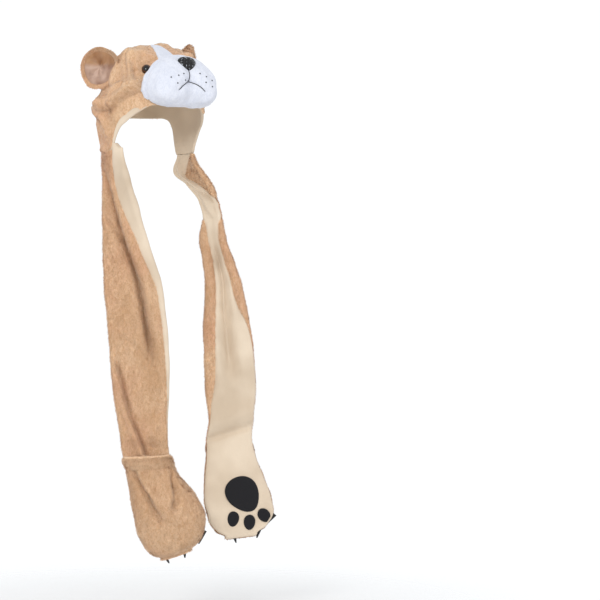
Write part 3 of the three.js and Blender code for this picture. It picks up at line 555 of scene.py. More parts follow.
def off_the_hood(points, gap=0.0004):
    """Points no nearer to the head than the plush's outer face."""
    wall = shell_wall + 0.008
    x, y = points[..., 0] / (head_width / 2 + wall), points[..., 1] / (head_length / 2 + wall)
    z = np.maximum((points[..., 2] + crown_height) / (crown_height + wall), 0)
    degrees = np.degrees(np.arctan2(-x, -y))
    level = z <= 0
    drop = np.where(level, -points[..., 2], crown_height * (1 - np.cos(np.arctan2(np.hypot(x, y), z))))
    face = plush_at(degrees, drop, gap)
    centre = stack(0, 0, np.where(level, points[..., 2], -crown_height))
    inside = np.linalg.norm(points - centre, axis=-1) < np.linalg.norm(face - centre, axis=-1)
    return np.where(inside[..., None], face, points)


# %% [markdown]
# The cover is remeshed into even faces and blown up by a cloth simulation with inner
# pressure, which gives it the tight, rounded skin of a stuffed toy. No point may move far,
# so it keeps its place. The seam round its sides, the mouth line and the hollow of the chin
# are pulled in afterwards by their thread, as on the real one.

# %% Stuff the muzzle
def apply_modifiers(piece):
    bpy.context.view_layer.update()
    solved = piece.evaluated_get(bpy.context.evaluated_depsgraph_get())
    mesh = bpy.data.meshes.new_from_object(solved)
    piece.modifiers.clear()
    piece.data = mesh


def add_modifier(piece, name, kind, **settings):
    modifier = piece.modifiers.new(name, kind)
    for key, value in settings.items():
        setattr(modifier, key, value)


def points_of(piece):
    points = np.zeros(len(piece.data.vertices) * 3)
    piece.data.vertices.foreach_get("co", points)
    return points.reshape(-1, 3)


def set_points(piece, points):
    piece.data.vertices.foreach_set("co", np.asarray(points, float).ravel())
    piece.data.update()


def stuff(piece, pressure, frames, cap):
    """Swells a soft piece by a cloth simulation, no point moving further than the cap."""
    before = points_of(piece)
    cloth = piece.modifiers.new("cloth", "CLOTH")
    cloth.settings.use_pressure = True
    cloth.settings.uniform_pressure_force = pressure
    cloth.settings.effector_weights.gravity = 0
    cloth.point_cache.frame_start, cloth.point_cache.frame_end = 1, frames
    for number in range(1, frames + 1):
        bpy.context.scene.frame_set(number)
    apply_modifiers(piece)
    bpy.context.scene.frame_set(1)
    moved = points_of(piece) - before
    far = np.linalg.norm(moved, axis=1, keepdims=True)
    set_points(piece, before + moved * np.minimum(1, cap / np.maximum(far, 1e-9)))


# The stitched mouth as places across and up, seen from the front, and where its thread starts.
mouth_lines = [
    [(0, -0.0375), (0.0004, -0.047), (0, -0.056)],
    [(0, -0.056), (-0.011, -0.0605), (-0.0205, -0.066), (-0.0275, -0.0728)],
    [(0, -0.056), (0.010, -0.0605), (0.0185, -0.066), (0.026, -0.0728)],
]


def sewn_in(points):
    """How deep the thread pulls the cover in at each place."""
    flat = points * [1, 0, 1]
    depth = 0
    for line in mouth_lines:
        near = near_line(flat, np.array([(x, 0, z) for x, z in line]))
        depth = depth + 0.0018 * np.exp(-((near / 0.0018) ** 2)) + 0.0035 * np.exp(-((near / 0.01) ** 2))
    depth = depth * smooth(-0.1, -0.115, points[:, 1])
    seam = points[:, 1] + 0.088 + 0.12 * (points[:, 2] + 0.06)
    return depth, 0.004 * np.exp(-((seam / 0.003) ** 2)) - 0.002 * np.exp(-(((seam - 0.01) / 0.006) ** 2))


rise = np.linspace(0.02, 0.98, 44)[:, None] * np.pi
turns = np.linspace(0, 2 * np.pi, 96, endpoint=False)[None, :]
cover = muzzle_at(stack(np.sin(rise) * np.sin(turns), np.sin(rise) * np.cos(turns), np.cos(rise) + 0 * turns))
muzzle_middle = np.array([0, -muzzle_forward, -muzzle_drop])
cover = off_the_hood(muzzle_middle + (cover - muzzle_middle) * 0.975)
muzzle = skin("muzzle_cover", cover)
add_modifier(muzzle, "even faces", "REMESH", mode="VOXEL", voxel_size=0.004, use_smooth_shade=True)
apply_modifiers(muzzle)
stuff(muzzle, 4, 20, 0.004)
add_modifier(muzzle, "relax", "SMOOTH", factor=0.5, iterations=4)
add_modifier(muzzle, "finer", "SUBSURF", levels=2)
apply_modifiers(muzzle)
normals = np.zeros(len(muzzle.data.vertices) * 3)
muzzle.data.vertices.foreach_get("normal", normals)
normals = normals.reshape(-1, 3)
place = points_of(muzzle)
mouth_depth, seam_depth = sewn_in(place)
dented = place + [0, 1, 0] * mouth_depth[:, None] - normals * seam_depth[:, None]
dented += normals * (ripple(place, 0.02, 8) * 0.0009 + ripple(place * [1, 1, 0.6], 0.045, 9) * 0.0016)[:, None]
set_points(muzzle, off_the_hood(dented))
print("muzzle reaches", np.round(dented.min(0), 4), np.round(dented.max(0), 4))
muzzle.data.polygons.foreach_set("use_smooth", [True] * len(muzzle.data.polygons))
dress(muzzle, white_plush, "white_plush", "muzzle")

# %% [markdown]
# ## Blaze
# The white stripe on the forehead is a strip of the same white plush, let into the hood
# from the muzzle up to the crown. It is a thin skin laid on the hood's own surface.

# %% Blaze
blaze_width, blaze_length, blaze_wall = 0.050, 0.094, 0.0022
blaze_start = muzzle_forward + muzzle_reach * 0.1


def on_hood(x, y, more):
    """The plush's outer face above a place seen from the top."""
    angle = np.degrees(np.arctan2(-x / head_width, -y / head_length))
    reach = np.clip(np.hypot(x / (head_width / 2 + shell_wall), y / (head_length / 2 + shell_wall)), 0, 0.999)
    return plush_at(angle, crown_height * (1 - np.sqrt(1 - reach**2)), more)


along = np.linspace(0.36, 1, 50)[:, None]
half = blaze_width / 2 * ((1 - along) ** 2 + 2 * (1 - along) * along * 0.8 + along**2 * 0.16)
across = np.linspace(-1, 1, 25)[None, :]
edge_sink = 0.0014 * smooth(0.75, 1, np.abs(across)) + 0.0012 * smooth(0.9, 1, along)
top = on_hood(across * half, -blaze_start + along * blaze_length, 0.0004 + blaze_wall - edge_sink)
under = on_hood(across * half, -blaze_start + along * blaze_length, -0.0006 + 0 * across)
left_edge = edge_arc(top[:, -1], under[:, -1], top[:, -1] - top[:, -2]).transpose(1, 0, 2)
right_edge = edge_arc(under[:, 0], top[:, 0], top[:, 0] - top[:, 1]).transpose(1, 0, 2)
blaze = skin("blaze_strip", np.concatenate([top, left_edge, under[:, ::-1], right_edge], axis=1))
dress(blaze, white_plush, "white_plush", "blaze")

# %% [markdown]
# ## Nose and eyes
# Both are hard: the nose is moulded with glitter under a clear gloss, and the eyes are
# glossy domes with a thin brown ring round a black pupil.

# %% Nose and eyes
def dome(name, width, height, stand, place, facing, shape=lambda x, y: (x, y), sides=56):
    """A rounded button with its flat side against a face."""
    turns = np.linspace(0, 2 * np.pi, sides, endpoint=False)[None, :]
    rise = np.linspace(0.03, 1, sides // 3 + 2) ** 0.8 * np.pi / 2
    rise = np.concatenate([rise, np.pi / 2 + np.linspace(0.2, 1.4, 5)])
    round_, high = np.sin(rise)[:, None], np.cos(rise)[:, None]
    x, y = shape(round_ * np.cos(turns), round_ * np.sin(turns))
    n = np.array(facing, float) / np.linalg.norm(facing)
    side = np.cross([0, 0, 1], n)
    side /= np.linalg.norm(side)
    up = np.cross(n, side)
    rings = (np.array(place) + x[..., None] * side * width / 2 + y[..., None] * up * height / 2
             + np.broadcast_to(high, x.shape)[..., None] * n * stand)
    return skin(name, rings)


gloss, tree, shader = new_material("glossy black", roughness=0.12, coat_weight=0.15, coat_roughness=0.03,
                                   specular_ior_level=0.3)
where = add_node(tree, "TexCoord").outputs["Object"]
smudge = add_node(tree, "TexNoise", {"Vector": where, "Scale": 60.0, "Detail": 3.0}).outputs["Fac"]
rough = add_node(tree, "MapRange", {"Value": smudge, "To Min": 0.08, "To Max": 0.3}).outputs[0]
tree.links.new(rough, shader.inputs["Roughness"])
shader.inputs["Base Color"].default_value = linear(12, 11, 12)

glitter, tree, shader = new_material("glitter black", roughness=0.3, coat_weight=0.25, coat_roughness=0.05,
                                     specular_ior_level=0.25)
where = add_node(tree, "TexCoord").outputs["Object"]
flakes = add_node(tree, "TexVoronoi", {"Vector": where, "Scale": 760.0, "Randomness": 1.0})
chosen = add_node(tree, "SeparateColor", {0: flakes.outputs["Color"]}).outputs[0]
bright = add_node(tree, "MapRange", {"Value": chosen, "From Min": 0.955, "From Max": 0.985}).outputs[0]
tree.links.new(blend_colours(tree, bright, linear(10, 10, 13), linear(225, 230, 240)), shader.inputs["Base Color"])
tree.links.new(bright, shader.inputs["Metallic"])
tilted = add_node(tree, "VectorMath", {0: flakes.outputs["Color"], 1: (0.5, 0.5, 0.5)}, operation="SUBTRACT")
tilted = add_node(tree, "VectorMath", {0: tilted.outputs[0], "Scale": 0.9}, operation="SCALE").outputs[0]
lean = add_node(tree, "VectorMath", {0: add_node(tree, "NewGeometry").outputs["Normal"], 1: tilted})
facet = add_node(tree, "VectorMath", {0: lean.outputs[0]}, operation="NORMALIZE").outputs[0]
tree.links.new(facet, shader.inputs["Normal"])


def muzzle_front(x, z):
    """The muzzle's outer face where a line straight back from the front meets it."""
    hit, place, normal, _ = muzzle.ray_cast(Vector((x, -0.4, z)), Vector((0, 1, 0)))
    return place if hit else None


nose_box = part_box("nose")
nose_middle = (nose_box[0] + nose_box[1]) / 2
nose_seat = muzzle_front(0, nose_middle.z - 0.003)
nose = dome("nose_button", 0.035, 0.0265, 0.0085, nose_seat, (0, -1, 0.45),
            lambda x, y: (x * (1 + 0.24 * y) * (1 - 0.04 * x * x), y * (1 - 0.08 * y)))
dress(nose, glitter, "gloss_black", "nose")

thread, tree, shader = new_material("black thread", roughness=0.6)
where = add_node(tree, "TexCoord").outputs["Object"]
twist = add_node(tree, "TexNoise", {"Vector": where, "Scale": 1500.0, "Detail": 2.0}).outputs["Fac"]
tree.links.new(blend_colours(tree, twist, linear(22, 22, 26), linear(62, 60, 64)), shader.inputs["Base Color"])


def tube(line, radius, sides=8):
    """Closed rings round a line of points, with thin ends."""
    line = np.array(line)
    along = np.gradient(line, axis=0)
    along /= np.linalg.norm(along, axis=1, keepdims=True)
    side = np.cross(along, [0, -1, 0.01])
    side /= np.linalg.norm(side, axis=1, keepdims=True)
    up = np.cross(side, along)
    step = np.arange(len(line)) + 0.5
    thin = radius * np.sqrt(np.clip(np.minimum(step, len(line) - step) / 3, 0, 1))[:, None]
    turns = np.linspace(0, 2 * np.pi, sides, endpoint=False)[None, :, None]
    return line[:, None] + thin[..., None] * (side[:, None] * np.cos(turns) + up[:, None] * np.sin(turns))


for number, line in enumerate(mouth_lines):
    share = np.linspace(0, len(line) - 1, 26)
    x, z = (np.interp(share, range(len(line)), [p[k] for p in line]) for k in (0, 1))
    stitches = [np.array(muzzle_front(*at)) + [0, -0.0002, 0] for at in zip(x, z)]
    dress(skin(f"mouth_thread_{number + 1}", tube(stitches, 0.0008)), thread, "black_felt")

# Whisker knots: places across and up, seen from the front.
knots = [(-0.0158, -0.044), (-0.0272, -0.0477), (-0.0416, -0.0515), (-0.0134, -0.0551), (-0.032, -0.0614),
         (0.0174, -0.042), (0.029, -0.047), (0.0417, -0.0527), (0.0262, -0.057), (0.0396, -0.0635)]
for number, (x, z) in enumerate(knots):
    knot = dome(f"whisker_knot_{number + 1}", 0.0027, 0.0027, 0.0012, muzzle_front(x, z), (x * 6, -1, 0.1), sides=20)
    dress(knot, thread, "black_felt")

eye_gloss, tree, shader = new_material("glass eye", roughness=0.06, coat_weight=0.4, coat_roughness=0.02,
                                       specular_ior_level=0.3)
around = add_node(tree, "Attribute", attribute_name="around").outputs["Fac"]
where = add_node(tree, "TexCoord").outputs["Object"]
streaks = add_node(tree, "TexNoise", {"Vector": where, "Scale": 500.0, "Detail": 2.0}).outputs["Fac"]
iris = add_node(tree, "MapRange", {"Value": around, "From Min": 0.52, "From Max": 0.66}).outputs[0]
rim = add_node(tree, "MapRange", {"Value": around, "From Min": 0.84, "From Max": 0.94}).outputs[0]
brown = blend_colours(tree, streaks, linear(96, 52, 20), linear(44, 22, 12))
ringed = blend_colours(tree, iris, linear(10, 9, 10), brown)
tree.links.new(blend_colours(tree, rim, ringed, linear(14, 12, 12)), shader.inputs["Base Color"])

eye_radius = 0.0085
for side, x_sign in (("right", -1), ("left", 1)):
    place = plush_at(np.array(-x_sign * 41.0), np.array(0.35 * crown_height), eye_radius * 0.3)
    facing = np.array([x_sign * 0.62, -0.75, 0.2])
    eye = dome(side + "_eye_dome", 2 * eye_radius, 2 * eye_radius, eye_radius * 0.8, place, facing)
    off_axis = np.linalg.norm(np.cross(points_of(eye) - place, facing / np.linalg.norm(facing)), axis=1) / eye_radius
    eye.data.attributes.new("around", "FLOAT", "POINT").data.foreach_set("value", off_axis.astype(np.float32))
    dress(eye, eye_gloss, "gloss_black", side + "_eye")

# %% [markdown]
# ## Ears
# Each ear is a round cupped flap of plush with satin set into its hollow. Its points are
# given by a radius from 0 to 1 and an angle, and the rim comes forward like a cup's.

# %% Ears
ear_width, ear_height, ear_cup, ear_wall = 0.062, 0.070, 0.017, 0.003
ear_turn, ear_angle, ear_drop = math.radians(32), 104.0, 0.3 * crown_height
left_ear_rise, left_ear_tuck = 0.015, 0.006


def ear_at(side, radius, angle, offset):
    """side is 1 for the wearer's right ear and -1 for the left."""
    out = np.array([-side * math.cos(ear_turn), math.sin(ear_turn), 0])
    front = np.array([-side * math.sin(ear_turn), -math.cos(ear_turn), 0])
    radius = radius * (1 + 0.03 * radius * (np.sin(2 * angle + 0.8) + 0.9 * np.sin(3 * angle - 1)
                                             + 0.5 * np.sin(5 * angle)))
    across, up = np.cos(angle), np.sin(angle)
    cup = ear_cup * radius**2 * (1 + 0.35 * up - 0.25 * across)
    cup = cup + 0.012 * radius**4 * np.exp(-(((angle - 2.5) / 0.5) ** 2))
    root = plush_at(np.array(side * ear_angle), np.array(ear_drop))
    if side < 0:
        root = root - left_ear_tuck * out + [0, 0, left_ear_rise]
    lift = ear_height * radius * up / 2 - 0.06 * ear_height * across * radius
    return (root + (ear_width * (0.37 + across * radius / 2))[..., None] * out
            + (cup + offset)[..., None] * front + lift[..., None] * np.array([0, 0, 1.0]))


satin, tree, shader = new_material("ear satin", roughness=0.38, sheen_weight=0.15, anisotropic=0.4)
where = add_node(tree, "TexCoord").outputs["Object"]
crease = add_node(tree, "TexNoise", {"Vector": where, "Scale": 38.0, "Detail": 2.0, "Distortion": 0.5}).outputs["Fac"]
level = add_node(tree, "SeparateXYZ", {0: where}).outputs["Z"]
# Painted shade: the upper part of the satin turns to a darker orange copy of its colours.
upper_painted_shade = add_node(tree, "MapRange", {"Value": level, "From Min": -0.024, "From Max": -0.017, "To Max": 0.9}).outputs[0]
weave = add_node(tree, "TexWave", {"Vector": where, "Scale": 420.0, "Distortion": 0.6}, bands_direction="Z")
# Painted shade in the satin's creases: where the crease noise is high, both colours go darker.
folded = add_node(tree, "MapRange", {"Value": crease, "From Min": 0.4, "From Max": 0.68, "To Max": 0.8}).outputs[0]
pink = blend_colours(tree, folded, linear(230, 198, 178), linear(176, 130, 106))
orange_painted_shade = blend_colours(tree, folded, linear(212, 164, 118), linear(172, 114, 68))
tree.links.new(blend_colours(tree, upper_painted_shade, pink, orange_painted_shade), shader.inputs["Base Color"])
ridges = add_node(tree, "Math", {0: crease, 1: weave.outputs["Fac"], 2: 0.05}, operation="MULTIPLY_ADD").outputs[0]
lifted = add_node(tree, "Bump", {"Height": ridges, "Strength": 0.6, "Distance": 0.004}).outputs["Normal"]
tree.links.new(lifted, shader.inputs["Normal"])

ear_radii = np.linspace(0.04, 1, 26)[:, None]
ear_turns = np.linspace(0, 2 * np.pi, 90, endpoint=False)[None, :]
ear_fronts = {}
for name, side in (("right", 1), ("left", -1)):
    front_face = ear_at(side, ear_radii, ear_turns, 0 * ear_turns + 0 * ear_radii)
    back_face = ear_at(side, ear_radii, ear_turns, -ear_wall - 0.002 * (1 - ear_radii**4) + 0 * ear_turns)
    rim = edge_arc(front_face[-1], back_face[-1], front_face[-1] - front_face[-2], 6)
    ear = skin(name + "_ear_plush", np.concatenate([front_face, rim, back_face[::-1]]))
    dress(ear, plush, "plush", name + "_ear")
    ear_fronts[name] = np.concatenate([front_face[20:], rim, back_face[::-1]])
    fold = 0.0022 * np.sin(5 * ear_turns + 3 * ear_radii) * ear_radii * (1 - ear_radii) * 4
    satin_front = ear_at(side, ear_radii * 0.82, ear_turns, 0.003 - 0.0022 * smooth(0.8, 1, ear_radii) + fold)
    satin_back = ear_at(side, ear_radii * 0.82, ear_turns, 0.0002 + 0 * ear_radii + 0 * ear_turns)
    inset = skin(name + "_ear_satin", np.concatenate([satin_front, satin_back[::-1]]))
    dress(inset, satin, "ear_satin", name + "_ear_lining")

# %% [markdown]
# ## Tails
# Each tail is a long flat tube of two cloths: plush on one side and fleece on the other,
# joined by two seams that wander across as the tail twists. A section is a flattened ring.
# Its outline is followed by a number called place: 0 to 2 across the face, to 2.5 round one
# edge, to 4.5 across the back and to 5 round the other edge. The folds lift the whole
# section out of its plane, so both cloths fold together.

# %% Tail sizes and tables
tail_width, tail_forward, edge_radius, tail_puff, fold_size = 0.100, 0.146, 0.006, 0.0052, 0.010
flap_middle = (head_width / 2 + shell_wall / 2) * flap_taper
half_puff = (plush_wall + lining_wall + tail_puff) / 2

right_rows = table(
    "down out forward face tilt half",
    (0, -1, -0.003, -90, 0, 0.355), (0.03, -1, 0.035, -88, 0, 0.355), (0.05, -0.995, 0.085, -84, 0, 0.34),
    (0.108, -0.99, 0.185, -75, 0, 0.365), (0.234, -0.97, 0.345, -55, 0, 0.42),
    (0.359, -0.94, 0.5, -42, 0, 0.505), (0.486, -0.92, 0.592, -35, 0, 0.505),
    (0.611, -0.89, 0.62, -30, 0, 0.475), (0.687, -0.88, 0.647, -28, 0, 0.42),
    (0.757, -0.87, 0.693, -27, 2, 0.4), (0.815, -0.78, 0.767, -26, 6, 0.44),
    (0.875, -0.65, 0.887, -25, 11, 0.55), (0.925, -0.58, 0.967, -25, 14, 0.59),
    (0.965, -0.52, 0.993, -25, 16, 0.53), (0.99, -0.49, 1, -25, 17, 0.4), (1, -0.48, 1, -25, 17, 0.28))
left_rows = table(
    "down out forward face tilt half",
    (0, 1, -0.05, -90, 0, 0.275), (0.05, 1.01, 0.025, -88, 0, 0.42), (0.088, 1.03, 0.213, -80, 0, 0.3),
    (0.128, 1.04, 0.363, -70, 0, 0.2), (0.175, 1.06, 0.445, -60, 0, 0.19), (0.223, 1.07, 0.453, -55, 0, 0.24),
    (0.28, 1.08, 0.54, -50, 0, 0.27), (0.354, 1.09, 0.66, -45, 0, 0.325), (0.433, 1.11, 0.693, -40, 0, 0.385),
    (0.514, 1.1, 0.753, -36, 0, 0.43), (0.62, 1.1, 0.8, -32, 0, 0.44), (0.699, 1.1, 0.81, -30, 0, 0.39),
    (0.752, 1.08, 0.785, -29, 0, 0.4), (0.805, 1.08, 0.827, -28, 2, 0.44), (0.859, 1.08, 0.89, -27, 4, 0.52),
    (0.912, 1.08, 0.967, -26, 5, 0.58), (0.951, 1.1, 1.02, -26, 6, 0.57), (0.985, 1.11, 1.02, -26, 6, 0.43),
    (1, 1.11, 1.01, -26, 6, 0.29))

# Folds: from and to as shares of the drop, the place across at start, middle and end, then
# width and height. A height below zero is a valley seen from the face side.
right_folds = [
    (0.03, 0.56, (-0.9, 0.12, 0.5), 0.013, -0.008),
    (0.03, 0.62, (-0.3, 0.55, 0.8), 0.014, 0.006),
    (0.56, 0.75, (0.2, 0.3, 0.6), 0.014, 0.003),
    (0.03, 0.56, (-0.87, 0.13, 0.46), 0.0045, -0.01),
    (0.5, 0.82, (-0.95, -0.55, 0.35), 0.005, -0.008),
    (0.5, 0.82, (-1.15, -0.78, 0.1), 0.009, 0.006),
]
left_folds = [
    (0.01, 0.18, (-0.7, -0.35, 0.3), 0.009, 0.007),
    (0.22, 0.62, (-0.1, -0.15, 0.05), 0.014, -0.011),
    (0.15, 0.66, (0.75, 0.45, 0.7), 0.013, 0.004),
    (0.15, 0.66, (-0.6, -0.6, -0.5), 0.013, 0.004),
    (0.24, 0.58, (-0.05, -0.14, 0.0), 0.004, -0.0045),
]
# Creases across: place down and its slant, from and to across, then width and height.
right_creases = [(0.74, 0.004, -1, 1, 0.012, -0.004), (0.5, 0.05, -0.5, 0.2, 0.006, -0.003),
                 (0.24, 0.08, -0.8, -0.2, 0.007, -0.003)]
left_creases = [(0.737, -0.0165, -0.9, 1, 0.007, -0.008), (0.7, -0.0165, -0.9, 1, 0.016, 0.006),
                (0.63, 0.03, -0.2, 0.8, 0.01, -0.002), (0.105, 0.03, -1, 1, 0.005, -0.003)]
right_seam = table(
    "down across",
    (0, 0.36), (0.07, 0.1), (0.12, 0.2), (0.18, 0.44), (0.234, 0.66), (0.36, 0.84), (0.5, 0.86), (0.64, 0.9),
    (0.78, 1), (1, 1))
left_seam = table(
    "down back front",
    (0, -1, 0.7), (0.015, -1, 0.25), (0.04, -1, -0.15), (0.06, -1, -0.3), (0.085, -1, 0.2), (0.105, -1, 0.7),
    (0.125, -1, 1), (0.165, -1, 1), (0.19, -0.8, 0.85), (0.235, -0.4, 0.68), (0.3, -0.45, 0.58), (0.36, -0.5, 0.6),
    (0.45, -0.56, 0.9), (0.58, -0.7, 1), (0.74, -0.98, 1), (1, -1, 1))
tails = {
    "right": {"rows": right_rows, "folds": right_folds, "creases": right_creases, "drop": 0.684, "plush_face": 1, "arch": 0.013, "cuff": 0.0},
    "left": {"rows": left_rows, "folds": left_folds, "creases": left_creases, "drop": 0.662, "plush_face": -1, "arch": 0, "cuff": -0.002},
}

# %% A tail as a surface
def tail_frame(tail, down):
    """The middle of a section, the ways across it and out of its face, and its half width."""
    get = lambda name: curve(tail["rows"], name, down)
    face, tilt = np.radians(get("face")), np.radians(get("tilt"))
    beyond = np.maximum(down - 1, 0) * tail["drop"]
    middle = stack(get("out") * flap_middle, -get("forward") * tail_forward,
                   -flap_drop - layer_gap - np.clip(down, None, 1) * tail["drop"] - beyond)
    across = stack(np.cos(face) * np.cos(tilt), np.sin(face) * np.cos(tilt), np.sin(tilt))
    return middle, across, stack(np.sin(face), -np.cos(face), 0 * face), get("half") * tail_width


def fold_height(tail, down, t, half):
    """How far the folds carry a section's middle line out of its flat plane."""
    height = -(t * half) ** 2 / (head_length * flap_taper) * tail["plush_face"] * (1 - smooth(0, 0.12, down))
    for start, end, places, width, lift in tail["folds"]:
        share = np.clip((down - start) / (end - start), 0, 1)
        centre = np.interp(share, [0, 0.5, 1], places)
        fade = smooth(0, 0.18, np.minimum(share, 1 - share))
        height = height + lift * fade * np.exp(-((t - centre) * half / width) ** 2)
    for place, slant, start, end, width, lift in tail["creases"]:
        off = (down - place - slant * t) * tail["drop"] / width
        height = height + lift * np.exp(-off**2) * smooth(start - 0.3, start, t) * (1 - smooth(end, end + 0.3, t))
    return height


def tail_at(tail, down, place, more=0.0):
    middle, across, out, half = tail_frame(tail, down)
    at = np.mod(place, 5)
    on_face, on_back = at <= 2, (at >= 2.5) & (at <= 4.5)
    flat = np.maximum(half - edge_radius, 0.001)
    t = np.where(on_face, at - 1, np.where(on_back, 3.5 - at, np.where(at > 4.5, -1, 1)))
    thin = 0.55 + 0.45 * smooth(0, 0.06, down)
    thick = (half_puff + (edge_radius - half_puff) * smooth(0.72, 1, np.abs(t))) * thin + more
    height = fold_height(tail, down, t, half)
    turn = np.where(at > 4.5, at - 4.5, at - 2) / 0.5 * np.pi
    way = np.where(at > 4.5, -1, 1)
    flat_part = on_face | on_back
    e = np.where(flat_part, flat * t, way * (flat + thick * np.sin(turn)))
    n = height + np.where(flat_part, np.where(on_face, thick, -thick), way * thick * np.cos(turn))
    arch = tail["arch"] * smooth(0.26, 0.56, t) * (1 - 0.7 * smooth(0.56, 1, t)) * (1 - smooth(0, 0.035, down))
    return middle + across * e[..., None] + out * n[..., None] + stack(0, 0, arch)


def seams(tail, down):
    """The plush runs from the first place to the second, and the fleece on round to the first."""
    if tail["plush_face"] > 0:
        front = curve(right_seam, "across", down)
        return front - 1.25, 1 + front + 0.25 * smooth(0.75, 1, front)
    back, front = curve(left_seam, "back", down), curve(left_seam, "front", down)
    return 1 + front + 0.25 * smooth(0.75, 1, front), 6 + back - 0.25 * smooth(-0.75, -1, back)

# %% [markdown]
# The columns of each layer stand closer together round the two edges, where the outline
# bends most. At a seam both cloths dip inwards a little, as a sewn and turned seam does,
# and at the toes the tube closes in a rounded end under the paw.

# %% Tail layers
ring_marks = np.concatenate([np.array([0, 2, 2.5, 4.5]) + 5 * k for k in range(-2, 4)])
ring_shares = np.concatenate([np.array([0, 2, 2.8, 4.8]) + 5.6 * k for k in range(-2, 4)])


def tail_wrinkles(points):
    return ripple(points * [1, 1, 0.5], 0.03, 5) * 0.0011 + ripple(points * [1, 1, 0.35], 0.012, 6) * 0.0003


def layer_rings(tail, downs, ends, wall, columns, cap=6):
    """Closed rings of one layer: its outer face, a rounded edge, its inner face and the other edge."""
    end = np.sin(np.linspace(0, 1, cap + 1)[1:] * np.pi / 2)
    downs = np.concatenate([downs, 1 + end * 0.005 / tail["drop"]])[:, None]
    shrink = np.concatenate([np.zeros(len(downs) - cap), (1 - np.sqrt(1 - end**2)) * 0.0042])[:, None]
    first, second = (np.interp(place, ring_marks, ring_shares) for place in ends(downs))
    spread = np.linspace(0, 1, columns)[None, :]
    places = np.interp(first + (second - first) * spread, ring_shares, ring_marks)
    here = tail_at(tail, downs, places, -shrink)
    step = tail_at(tail, downs, places + 0.02) - tail_at(tail, downs, places - 0.02)
    _, across, out, half = tail_frame(tail, downs)
    e, n = (step * across).sum(-1), (step * out).sum(-1)
    size = np.hypot(e, n)
    inwards = across * (n / size)[..., None] - out * (e / size)[..., None]
    from_seam = np.minimum(spread, 1 - spread) * (second - first) * half / 1.4
    dip = 0.0016 * np.exp(-((from_seam / 0.0028) ** 2))
    outer = here + inwards * (dip - tail_wrinkles(here) * smooth(0, 0.02, from_seam))[..., None]
    inner = here + inwards * (dip + wall)[..., None]
    far = edge_arc(outer[:, -1], inner[:, -1], outer[:, -1] - outer[:, -2]).transpose(1, 0, 2)
    near = edge_arc(inner[:, 0], outer[:, 0], outer[:, 0] - outer[:, 1]).transpose(1, 0, 2)
    return outer, np.concatenate([outer, far, inner[:, ::-1], near], axis=1)


tail_downs = np.concatenate([[0], np.linspace(0.0006, 0.3, 89, endpoint=False), np.linspace(0.3, 1, 170)])
tail_outer = {}
for name, tail in tails.items():
    plush_ends = lambda down: seams(tail, down)
    fleece_ends = lambda down: (seams(tail, down)[1], seams(tail, down)[0] + 5)
    tail_outer[name], rings = layer_rings(tail, tail_downs, plush_ends, plush_wall, 42)
    length = tail["drop"]
    piece = dress(skin(name + "_tail_plush", rings), plush, "plush", name + "_tail")
    _, rings = layer_rings(tail, tail_downs, fleece_ends, lining_wall, 36)
    piece = dress(skin(name + "_tail_fleece", rings), fleece, "fleece_lining", name + "_tail_lining")

# %% [markdown]
# ## Paws
# A mitten pocket of plush is sewn over each paw, open at the top with a soft rolled cuff.
# Its section is half an oval on the tail, and its depth along the paw comes from a table.

# %% Mitten pockets
cuff_height, cuff_wall, pocket_depth, paw_tip = 0.013, 0.006, 0.034, 0.004
cuff_top = {"right": 0.765, "left": 0.762}
pocket_rows = table("along depth", (0, 0.82), (0.25, 0.9), (0.55, 1), (0.8, 0.86), (0.93, 0.6), (1, 0.24))


def pocket_at(tail, top, along, turn, wall):
    """A point of the pocket: along from 0 at the cuff to 1 at the toes, turn from 0 to pi across."""
    toe = 1 + paw_tip / tail["drop"]
    middle, across, out, half = tail_frame(tail, top + (toe - top) * along)
    a = half - 0.001 + tail["cuff"] * (1 - smooth(0, 0.12, along)) - wall
    b = half_puff + pocket_depth * curve(pocket_rows, "depth", along) - wall
    lift = b * np.maximum(np.sin(turn), 0) ** 0.85 * tail["plush_face"]
    return middle + across * (a * np.cos(turn))[..., None] + out * lift[..., None]


# Folds of a pocket: from and to along it, the turn at each end in degrees, then width and height.
pocket_folds = {
    "right": [(0.03, 0.7, (144, 104), 0.0065, -0.01), (0.03, 0.7, (130, 90), 0.01, 0.003),
              (0.05, 0.58, (26, 88), 0.0065, -0.009), (0.05, 0.58, (42, 102), 0.01, 0.002)],
    "left": [],
}
pocket_outer = {}
for name, tail in tails.items():
    top = cuff_top[name]
    length = (1 - top) * tail["drop"]
    turns = np.linspace(0, np.pi, 56)[None, :]
    along = np.concatenate([np.linspace(0, 0.9, 60, endpoint=False), np.linspace(0.9, 1, 16)])[:, None]
    level = along * length
    swell = 0.005 * np.exp(-(((level - 0.006) / 0.007) ** 2)) - 0.0022 * np.exp(-(((level - 0.02) / 0.005) ** 2))
    swell, fold = swell * np.sin(turns) ** 0.6, 0
    for start, end, places, width, lift in pocket_folds[name]:
        share = np.clip((along - start) / (end - start), 0, 1)
        centre = np.radians(places[0] + (places[1] - places[0]) * share)
        fade = smooth(0, 0.25, np.minimum(share, 1 - share))
        fold = fold + lift * fade * np.exp(-(((turns - centre) * 0.05 / width) ** 2))
    outer = pocket_at(tail, top, along, turns, -swell - fold)
    outer = pocket_at(tail, top, along, turns, -swell - fold - tail_wrinkles(outer) * smooth(0, 0.1, along))
    inner = pocket_at(tail, top, along, turns, plush_wall - fold)
    roll = edge_arc(inner[0], outer[0], outer[0] - outer[2], 6)
    body = np.concatenate([inner[:60][::-1], roll, outer])
    toe_end = outer[-1] + (outer[-1].mean(0) - outer[-1]) * 0.5 - [0, 0, 0.0025]
    pocket_outer[name] = outer[:, ::-1] if tail["plush_face"] > 0 else outer
    rings = np.concatenate([body, toe_end[None]])
    piece = dress(skin(name + "_pocket_plush", rings), plush, "plush", name + "_paw_pocket")

